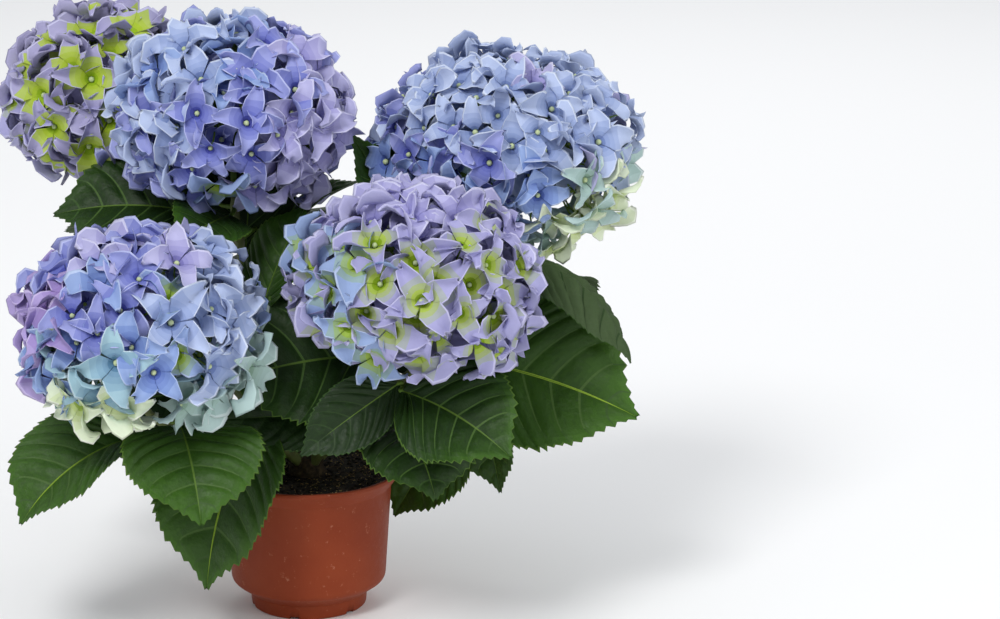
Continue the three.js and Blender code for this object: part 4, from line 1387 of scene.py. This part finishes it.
# %% Tints of the heads
# head: tint: (growth of its strength towards +X, +Y and +Z, strength in the head's middle)
HEAD_TINTS = {
    "front_left": {
        "blue": (0, 0, 0, 0.4), "violet": (-0.2, 0, 0.7, 0.15), "purple": (-1.7, 0, 0.2, -0.7),
        "lilac": (-0.3, 0, 0.9, -0.1), "sky": (0.2, 0, -1.1, 0.3), "aqua": (0.4, 0, -1.6, 0.12),
        "pale": (0.9, 0, 0.4, 0), "green_blue": (0.3, 0, -0.1, 0.3),
    },
    "front_right": {
        "green_lilac": (0.1, 0, -0.6, 1.25), "green_blue": (-0.3, 0, -0.5, 0.85),
        "lilac": (-0.2, 0, 1.3, 0.1), "pale": (0.6, 0, 0.4, 0), "lime": (0, 0, -0.2, 0.5),
    },
    "top": {
        "violet": (-0.2, 0, 0, 0.55), "blue": (-0.4, 0, 0.2, 0.3), "lilac": (0.7, 0, 0, 0.25),
        "green_blue": (-0.1, 0, -0.5, 0.2), "pale": (-0.9, 0, 0.5, 0.1),
    },
    "right": {
        "blue": (-0.4, 0, -0.4, 0.45), "violet": (-0.3, 0, -0.2, 0.4),
        "pale": (0.2, 0, 1.1, 0.4), "lilac": (0.4, 0, 0.6, 0.1), "aqua": (0.8, 0, -0.3, -0.25),
        "sky": (0.1, 0, -0.2, -0.05),
    },
    "back_left": {
        "lime": (0.1, 0, 0.3, 0.75), "green_lilac": (0, 0, 0, 0.6), "lilac": (-0.3, 0, -0.2, 0.2),
        "violet": (0.3, 0, -0.4, 0.1), "green_blue": (0, 0, 0.1, 0.15),
    },
}
TINT_CHANCE = 0.22              # spread of the strengths from floret to floret
print("tints of each head:", {head: len(tints) for head, tints in HEAD_TINTS.items()})

# %% Directions round a ball
OPEN_UNDER = -0.72              # a head has nothing under this part of its radius
HEX_ROOM = 0.866                # area that a seat takes up, as a part of its spacing squared


def ball_directions(count):
    """Nearly even directions round a ball."""
    i = np.arange(count) + 0.5
    z = 1 - 2 * i / count
    turn = i * math.pi * (3 - math.sqrt(5))
    ring = np.sqrt(1 - z * z)
    return np.stack([ring * np.cos(turn), ring * np.sin(turn), z], axis=1)


def unit(vectors):
    """The vectors at length one."""
    return vectors / np.linalg.norm(vectors, axis=-1, keepdims=True)


print("fifty even directions have their middle at", np.round(ball_directions(50).mean(axis=0), 3))

# %% Places on the heads
# (part of the head's size, distance between florets, unevenness of the depth)
LAYERS = [(0.8, 24.5, 0.045), (0.6, 28.0, 0.05)]
AREA_POWER = 1.6                # of the rule for the area of a flattened ball
SEAT_CHANCE = 0.05              # how far a seat may stray, as a part of the radius
LUMPS = (0.04, 0.9)             # broad lumps of a head: height and number of waves


def head_layer(axes, spacing, uneven, rng):
    """Seats on a flattened ball: (directions, places from its middle)."""
    top = axes[0] ** (2 * AREA_POWER)
    side = (axes[0] * axes[2]) ** AREA_POWER
    area = 4 * math.pi * ((top + 2 * side) / 3) ** (1 / AREA_POWER)
    directions = ball_directions(round(area / (HEX_ROOM * spacing**2)))
    directions = unit(directions + rng.normal(0, SEAT_CHANCE, directions.shape))
    directions = directions[directions[:, 2] > OPEN_UNDER]
    height, often = LUMPS
    depth = 1 + height * waves(*directions.T, often) + rng.normal(0, uneven, len(directions))
    return directions, directions * axes * depth[:, None]


def head_seats(name, rng):
    """Floret places of a head: (points, outward directions, tint numbers, directions)."""
    middle, wide, tall, _foot = BLOOMS[name]
    points = []
    around = []
    outward = []
    for part, spacing, uneven in LAYERS:
        axes = np.array([wide, wide, tall]) * part
        directions, places = head_layer(axes, spacing, uneven, rng)
        points.append(np.array(middle) + places)
        around.append(directions)
        outward.append(directions / axes)
    points, around, outward = (np.concatenate(rows) for rows in (points, around, outward))
    leaning = np.array(list(HEAD_TINTS[name].values()))
    strength = around @ leaning[:, :3].T + leaning[:, 3]
    strength += rng.normal(0, TINT_CHANCE, strength.shape)
    numbers = np.array([TINT_NAMES.index(tint) for tint in HEAD_TINTS[name]])
    return points, unit(outward), numbers[strength.argmax(axis=1)], around


print("florets of a full top head:", len(head_seats("top", np.random.default_rng(0))[0]))

# %% Hanging florets
# head: (florets that hang out on longer stalks, the way from the head's middle to them)
HANGING = {
    "front_left": (7, (0.1, -0.6, -0.8)),
    "right": (11, (0.6, -0.55, -0.6)),
}
HANGING_ROOM = 0.86             # cosine of the half angle that they take up on the head
HANGING_SPREAD = 0.3
HANGING_REACH = (0.74, 0.96)    # how far out they hang, as parts of the head's size
FACING_FLAT = (1, 1, 0.4)       # they face outward, less up or down, and then a little down
FACING_DOWN = (0, 0, -0.35)
FACING_CHANCE = 0.15
MILK_SHARE = 0.75               # the rest of them are aqua


def hanging_seats(name, rng):
    """Places of a head's hanging florets: (points, outward directions, tint numbers)."""
    middle, wide, tall, _foot = BLOOMS[name]
    count, way = HANGING[name]
    loose = unit(unit(np.array(way)) + rng.normal(0, HANGING_SPREAD, (count, 3)))
    reach = rng.uniform(*HANGING_REACH, (count, 1))
    points = np.array(middle) + loose * (wide, wide, tall) * reach
    facing = loose * FACING_FLAT + FACING_DOWN + rng.normal(0, FACING_CHANCE, (count, 3))
    tints = np.where(rng.uniform(size=count) < MILK_SHARE, TINT_NAMES.index("milk"),
                     TINT_NAMES.index("aqua"))
    return points, unit(facing), tints


def all_seats(name, rng):
    """All floret places of a head: (points, outward directions, tint numbers)."""
    *seats, around = head_seats(name, rng)
    if name not in HANGING:
        return seats
    kept = around @ unit(np.array(HANGING[name][1])) < HANGING_ROOM
    hung = hanging_seats(name, rng)
    return [np.concatenate([rows[kept], more]) for rows, more in zip(seats, hung)]


SEATS = {name: all_seats(name, np.random.default_rng(40 + i)) for i, name in enumerate(BLOOMS)}
print({name: len(seats[0]) for name, seats in SEATS.items()}, "florets")

# %% The tree that sets florets on a head
SPIN = 18                       # a floret spins by up to this many times its head's tilt


def head_tree():
    """Puts a floret on every point, facing along the point's outward direction."""
    tree = Tree("head", Florets="Collection", Smallest=0.85, Largest=1.08, Tilt=0.45, Kinds=14,
                Seed=1)
    given = tree.given
    florets = tree.node("GeometryNodeCollectionInfo", "Instances", {
        "Collection": given["Florets"], "Separate Children": True, "Reset Children": True,
    })
    last = tree.node("ShaderNodeMath", "Value", {"Value": given["Kinds"]}, operation="ADD")
    last.node.inputs[1].default_value = -1
    kind = tree.node("FunctionNodeRandomValue", "Value", {
        "Min": 0, "Max": last, "Seed": given["Seed"],
    }, data_type="INT")
    facing = tree.node("FunctionNodeAlignRotationToVector", "Rotation", {
        "Vector": tree.named("FLOAT_VECTOR", "outward"),
    }, axis="Z")
    size = tree.node("FunctionNodeRandomValue", "Value", {
        "Min": given["Smallest"], "Max": given["Largest"], "Seed": given["Seed"],
    }, data_type="FLOAT")
    many = tree.node("GeometryNodeInstanceOnPoints", "Instances", {
        "Points": given["Geometry"], "Instance": florets, "Pick Instance": True,
        "Instance Index": kind, "Rotation": facing, "Scale": size,
    })
    least = tree.node("ShaderNodeVectorMath", "Vector", {"Scale": given["Tilt"]},
                      operation="SCALE")
    least.node.inputs[0].default_value = (-1, -1, 0)
    most = tree.node("ShaderNodeVectorMath", "Vector", {"Scale": given["Tilt"]},
                     operation="SCALE")
    most.node.inputs[0].default_value = (1, 1, SPIN)
    turn = tree.node("FunctionNodeRandomValue", "Value", {
        "Min": least, "Max": most, "Seed": given["Seed"],
    }, data_type="FLOAT_VECTOR")
    turned_ones = tree.node("GeometryNodeRotateInstances", "Instances", {
        "Instances": many, "Rotation": turn, "Local Space": True,
    })
    real = tree.node("GeometryNodeRealizeInstances", "Geometry", {"Geometry": turned_ones})
    tree.finish(tree.node("GeometryNodeSetMaterial", "Geometry",
                          {"Geometry": real, "Material": PETAL_PAINTS[-1]}))
    return tree


HEAD_TREE = head_tree()
print("the head tree has", len(HEAD_TREE.group.nodes), "nodes")

# %% Points with values, and paints dealt out


def points_mesh(name, points, **values):
    """Mesh of loose points in metres with an attribute for each of the values."""
    mesh = bpy.data.meshes.new(name)
    mesh.vertices.add(len(points))
    mesh.vertices.foreach_set("co", np.asarray(points).ravel() * MM)
    for label, numbers in values.items():
        if numbers.ndim == 2:
            layer = mesh.attributes.new(label, "FLOAT_VECTOR", "POINT")
            layer.data.foreach_set("vector", numbers.astype(float).ravel())
        elif numbers.dtype.kind == "i":
            mesh.attributes.new(label, "INT", "POINT").data.foreach_set("value", numbers)
        else:
            mesh.attributes.new(label, "FLOAT", "POINT").data.foreach_set("value", numbers)
    return mesh


def deal_paints(mesh):
    """Gives every face the paint of its floret's tint and its own zone."""
    faces = len(mesh.polygons)
    zone = np.zeros(faces, int)
    mesh.attributes["zone"].data.foreach_get("value", zone)
    tint = np.zeros(len(mesh.vertices), int)
    mesh.attributes["tint"].data.foreach_get("value", tint)
    start = np.zeros(faces, int)
    mesh.polygons.foreach_get("loop_start", start)
    corner = np.zeros(len(mesh.loops), int)
    mesh.loops.foreach_get("vertex_index", corner)
    paint = np.where(zone == BEAD, len(PETAL_PAINTS) - 1, tint[corner[start]] * BEAD + zone)
    used, index = np.unique(paint, return_inverse=True)
    mesh.materials.clear()
    for number in used:
        mesh.materials.append(PETAL_PAINTS[number])
    mesh.polygons.foreach_set("material_index", index)


print("a tint number and a zone choose one of", len(PETAL_PAINTS), "paints")

# %% Florets on their heads
# head: (seed of its florets, how far they tilt at random, in radians)
HEAD_CHANCE = {
    "front_left": (38, 0.36),
    "front_right": (21, 0.26),
    "top": (22, 0.38),
    "right": (23, 0.4),
    "back_left": (24, 0.28),
}
for name, (points, outward, tint) in SEATS.items():
    florets = ROUNDED if name == "right" else POINTED
    seed, tilt = HEAD_CHANCE[name]
    seats = placed("seats", points_mesh("seats", points, outward=outward, tint=tint))
    head = grown(f"head_{name}", HEAD_TREE, seats, Florets=florets,
                 Kinds=len(florets.objects), Tilt=tilt, Seed=seed)
    deal_paints(head.data)
    settle(head, "bloom", f"bloom_{name}")

# %% [markdown]
# ## Flower stalks
# Under its florets a head is a small tree. The cane runs on to a fork, green stalks spread from
# the fork, and from the end of each a bunch of thin stalks goes on to single florets. The
# stalks are lines with a thickness at every point, and Geometry Nodes turn them into round
# tubes. Between the open florets sit small green buds that never open.

# %% Lines of the flower stalks
FORK_HEIGHT = -0.5              # height of the fork over the head's middle, as a part of its size
SPREADS = 14                    # directions for spreading stalks, before the lowest are left out
LOWEST_SPREAD = -0.5
SPREAD_PART = 0.46              # how far they go, as a part of the head's size
FORK_EASE = 8                   # straight way before and behind a fork, in millimetres
FORK_THICKNESS = 2.0            # radii in millimetres, as all thicknesses of stalks here
SPREAD_THICKNESS = (1.5, 1.0)
THIN_THICKNESS = (0.9, 0.7)
BEND = 0.4                      # how far a thin stalk keeps to the floret's direction
STALK_STEPS = 7


def head_stalks(name):
    """Lines of a head's stalks: lists of points with their thickness."""
    middle, wide, tall, _foot = BLOOMS[name]
    axes = np.array([wide, wide, tall])
    points, outward, _tint = SEATS[name]
    tip = CANE_LINES[name][-1]
    fork = np.array(middle) + (0, 0, FORK_HEIGHT * tall)
    spreads = ball_directions(SPREADS)
    spreads = spreads[spreads[:, 2] > LOWEST_SPREAD]
    knots = np.array(middle) + spreads * axes * SPREAD_PART
    t = np.linspace(0, 1, STALK_STEPS)
    ease = np.array([0, 0, FORK_EASE])
    lines = [(curve((tip - ease, tip, fork - ease, fork), t),
              np.linspace(CANE["tip"], FORK_THICKNESS, STALK_STEPS))]
    for knot in knots:
        bend = fork + 0.5 * (knot - fork) + (0, 0, 4)
        lines.append((curve((fork, bend, knot - 0.2 * (knot - fork), knot), t),
                      np.linspace(*SPREAD_THICKNESS, STALK_STEPS)))
    near = np.linalg.norm(points[:, None] - knots[None], axis=2).argmin(axis=1)
    for point, out, k in zip(points, outward, near):
        knot = knots[k]
        reach = BEND * np.linalg.norm(point - knot)
        lines.append((curve((knot, knot + reach * out * 0.6, point - reach * out, point), t),
                      np.linspace(*THIN_THICKNESS, STALK_STEPS)))
    return lines


def lines_mesh(name, lines):
    """Mesh of loose lines with the attribute `thickness`, in metres."""
    points = np.concatenate([line for line, _thick in lines])
    thick = np.concatenate([thick for _line, thick in lines]) * MM
    mesh = points_mesh(name, points, thickness=thick)
    edges = []
    start = 0
    for line, _thick in lines:
        edges += [(start + i, start + i + 1) for i in range(len(line) - 1)]
        start += len(line)
    mesh.edges.add(len(edges))
    mesh.edges.foreach_set("vertices", np.array(edges).ravel())
    return mesh


STALK_LINES = [line for name in BLOOMS for line in head_stalks(name)]
print(len(STALK_LINES), "lines of flower stalks")

# %% Paints of stalks and buds


def stalk_paint(name, color):
    """Material of a soft green stalk or bud, a little uneven."""
    material, shader = principled(name, color, 0.55)
    nodes = material.node_tree.nodes
    links = material.node_tree.links
    shader.inputs["Specular IOR Level"].default_value = 0.3
    streaks = noise(nodes, links, 500, 3)
    bumped(nodes, links, shader, streaks, 0.0003, 0.5)
    links.new(ramp(nodes, links, streaks, (0.3, 0.45), (0.7, 0.65)), shader.inputs["Roughness"])
    return material


STALK_PAINT = stalk_paint("flower_stalk", rgb(112, 142, 58))
BUD_PAINT = stalk_paint("closed_bud", rgb(136, 160, 70))
print(len(bpy.data.materials), "materials so far")

# %% The tree that turns lines into stalks


def stalk_tree():
    """Turns lines into round stalks as thick as their points say."""
    tree = Tree("stalks", Sides=7)
    given = tree.given
    thickness = tree.named("FLOAT", "thickness")
    lines = tree.node("GeometryNodeMeshToCurve", "Curve", {"Mesh": given["Geometry"]})
    sized = tree.node("GeometryNodeSetCurveRadius", "Curve",
                      {"Curve": lines, "Radius": thickness})
    ring = tree.node("GeometryNodeCurvePrimitiveCircle", "Curve",
                     {"Resolution": given["Sides"], "Radius": 1.0})
    radius = tree.node("GeometryNodeInputRadius", "Radius")
    tubes = tree.node("GeometryNodeCurveToMesh", "Mesh", {
        "Curve": sized, "Profile Curve": ring, "Scale": radius, "Fill Caps": True,
    })
    real = tree.node("GeometryNodeRealizeInstances", "Geometry", {"Geometry": tubes})
    smooth = tree.node("GeometryNodeSetShadeSmooth", "Geometry", {"Geometry": real})
    tree.finish(tree.node("GeometryNodeSetMaterial", "Geometry",
                          {"Geometry": smooth, "Material": STALK_PAINT}))
    return tree


STALK_TREE = stalk_tree()
print("the stalk tree has", len(STALK_TREE.group.nodes), "nodes")

# %% Stalks
stalk_lines = placed("stalk_lines", lines_mesh("stalk_lines", STALK_LINES))
flower_stalks = grown("flower_stalks", STALK_TREE, stalk_lines, Sides=7)
settle(flower_stalks, "cane")

# %% The tree that sets buds on points


def bud_tree():
    """Sets a bud on every point, sized and turned at random."""
    tree = Tree("buds", Bud="Object", Smallest=0.6, Largest=1.3, Seed=1)
    given = tree.given
    bud = tree.node("GeometryNodeObjectInfo", "Geometry", {"Object": given["Bud"]})
    turn = tree.node("FunctionNodeRandomValue", "Value", {
        "Min": (0.0, 0.0, 0.0), "Max": (FULL_TURN, FULL_TURN, FULL_TURN), "Seed": given["Seed"],
    }, data_type="FLOAT_VECTOR")
    size = tree.node("FunctionNodeRandomValue", "Value", {
        "Min": given["Smallest"], "Max": given["Largest"], "Seed": given["Seed"],
    }, data_type="FLOAT")
    many = tree.node("GeometryNodeInstanceOnPoints", "Instances", {
        "Points": given["Geometry"], "Instance": bud, "Rotation": turn, "Scale": size,
    })
    real = tree.node("GeometryNodeRealizeInstances", "Geometry", {"Geometry": many})
    tree.finish(tree.node("GeometryNodeSetMaterial", "Geometry",
                          {"Geometry": real, "Material": BUD_PAINT}))
    return tree


BUD_TREE = bud_tree()
print("the bud tree has", len(BUD_TREE.group.nodes), "nodes")

# %% Buds
BUD_RADIUS = 2.0
BUD_DEPTH = 0.66                # how far out they sit, as a part of the head's size
BUD_SPREAD = 0.08
BUD_SPACING = 17.0
BALL_AREA = 12.6                # area of a ball, as a part of its radius squared
bud_parts = Gatherer()
points, bands, top, foot = ball(BUD_RADIUS, 0)
bud_parts.add(points, (bands, 0), (top, 0), (foot, 0))
bud = placed("bud", bud_parts.mesh("bud", []))
places = []
bud_rng = np.random.default_rng(77)
for name, (middle, wide, tall, _foot) in BLOOMS.items():
    axes = np.array([wide, wide, tall]) * BUD_DEPTH
    area = BALL_AREA * axes[0] * axes[2]
    directions = ball_directions(round(area / (HEX_ROOM * BUD_SPACING**2)))
    directions = directions[directions[:, 2] > OPEN_UNDER]
    spread = 1 + bud_rng.normal(0, BUD_SPREAD, len(directions))
    places.append(np.array(middle) + directions * axes * spread[:, None])
bud_places = placed("bud_places", points_mesh("bud_places", np.concatenate(places)))
buds = grown("closed_buds", BUD_TREE, bud_places, Bud=bud, Seed=6)
bpy.data.objects.remove(bud)
settle(buds, "bloom")

# %% [markdown]
# ## Closing
# The script ends by counting its materials. Florets and tooth tips may stand a little past the
# plain solids.

print("the finished scene has", len(bpy.data.materials), "materials")
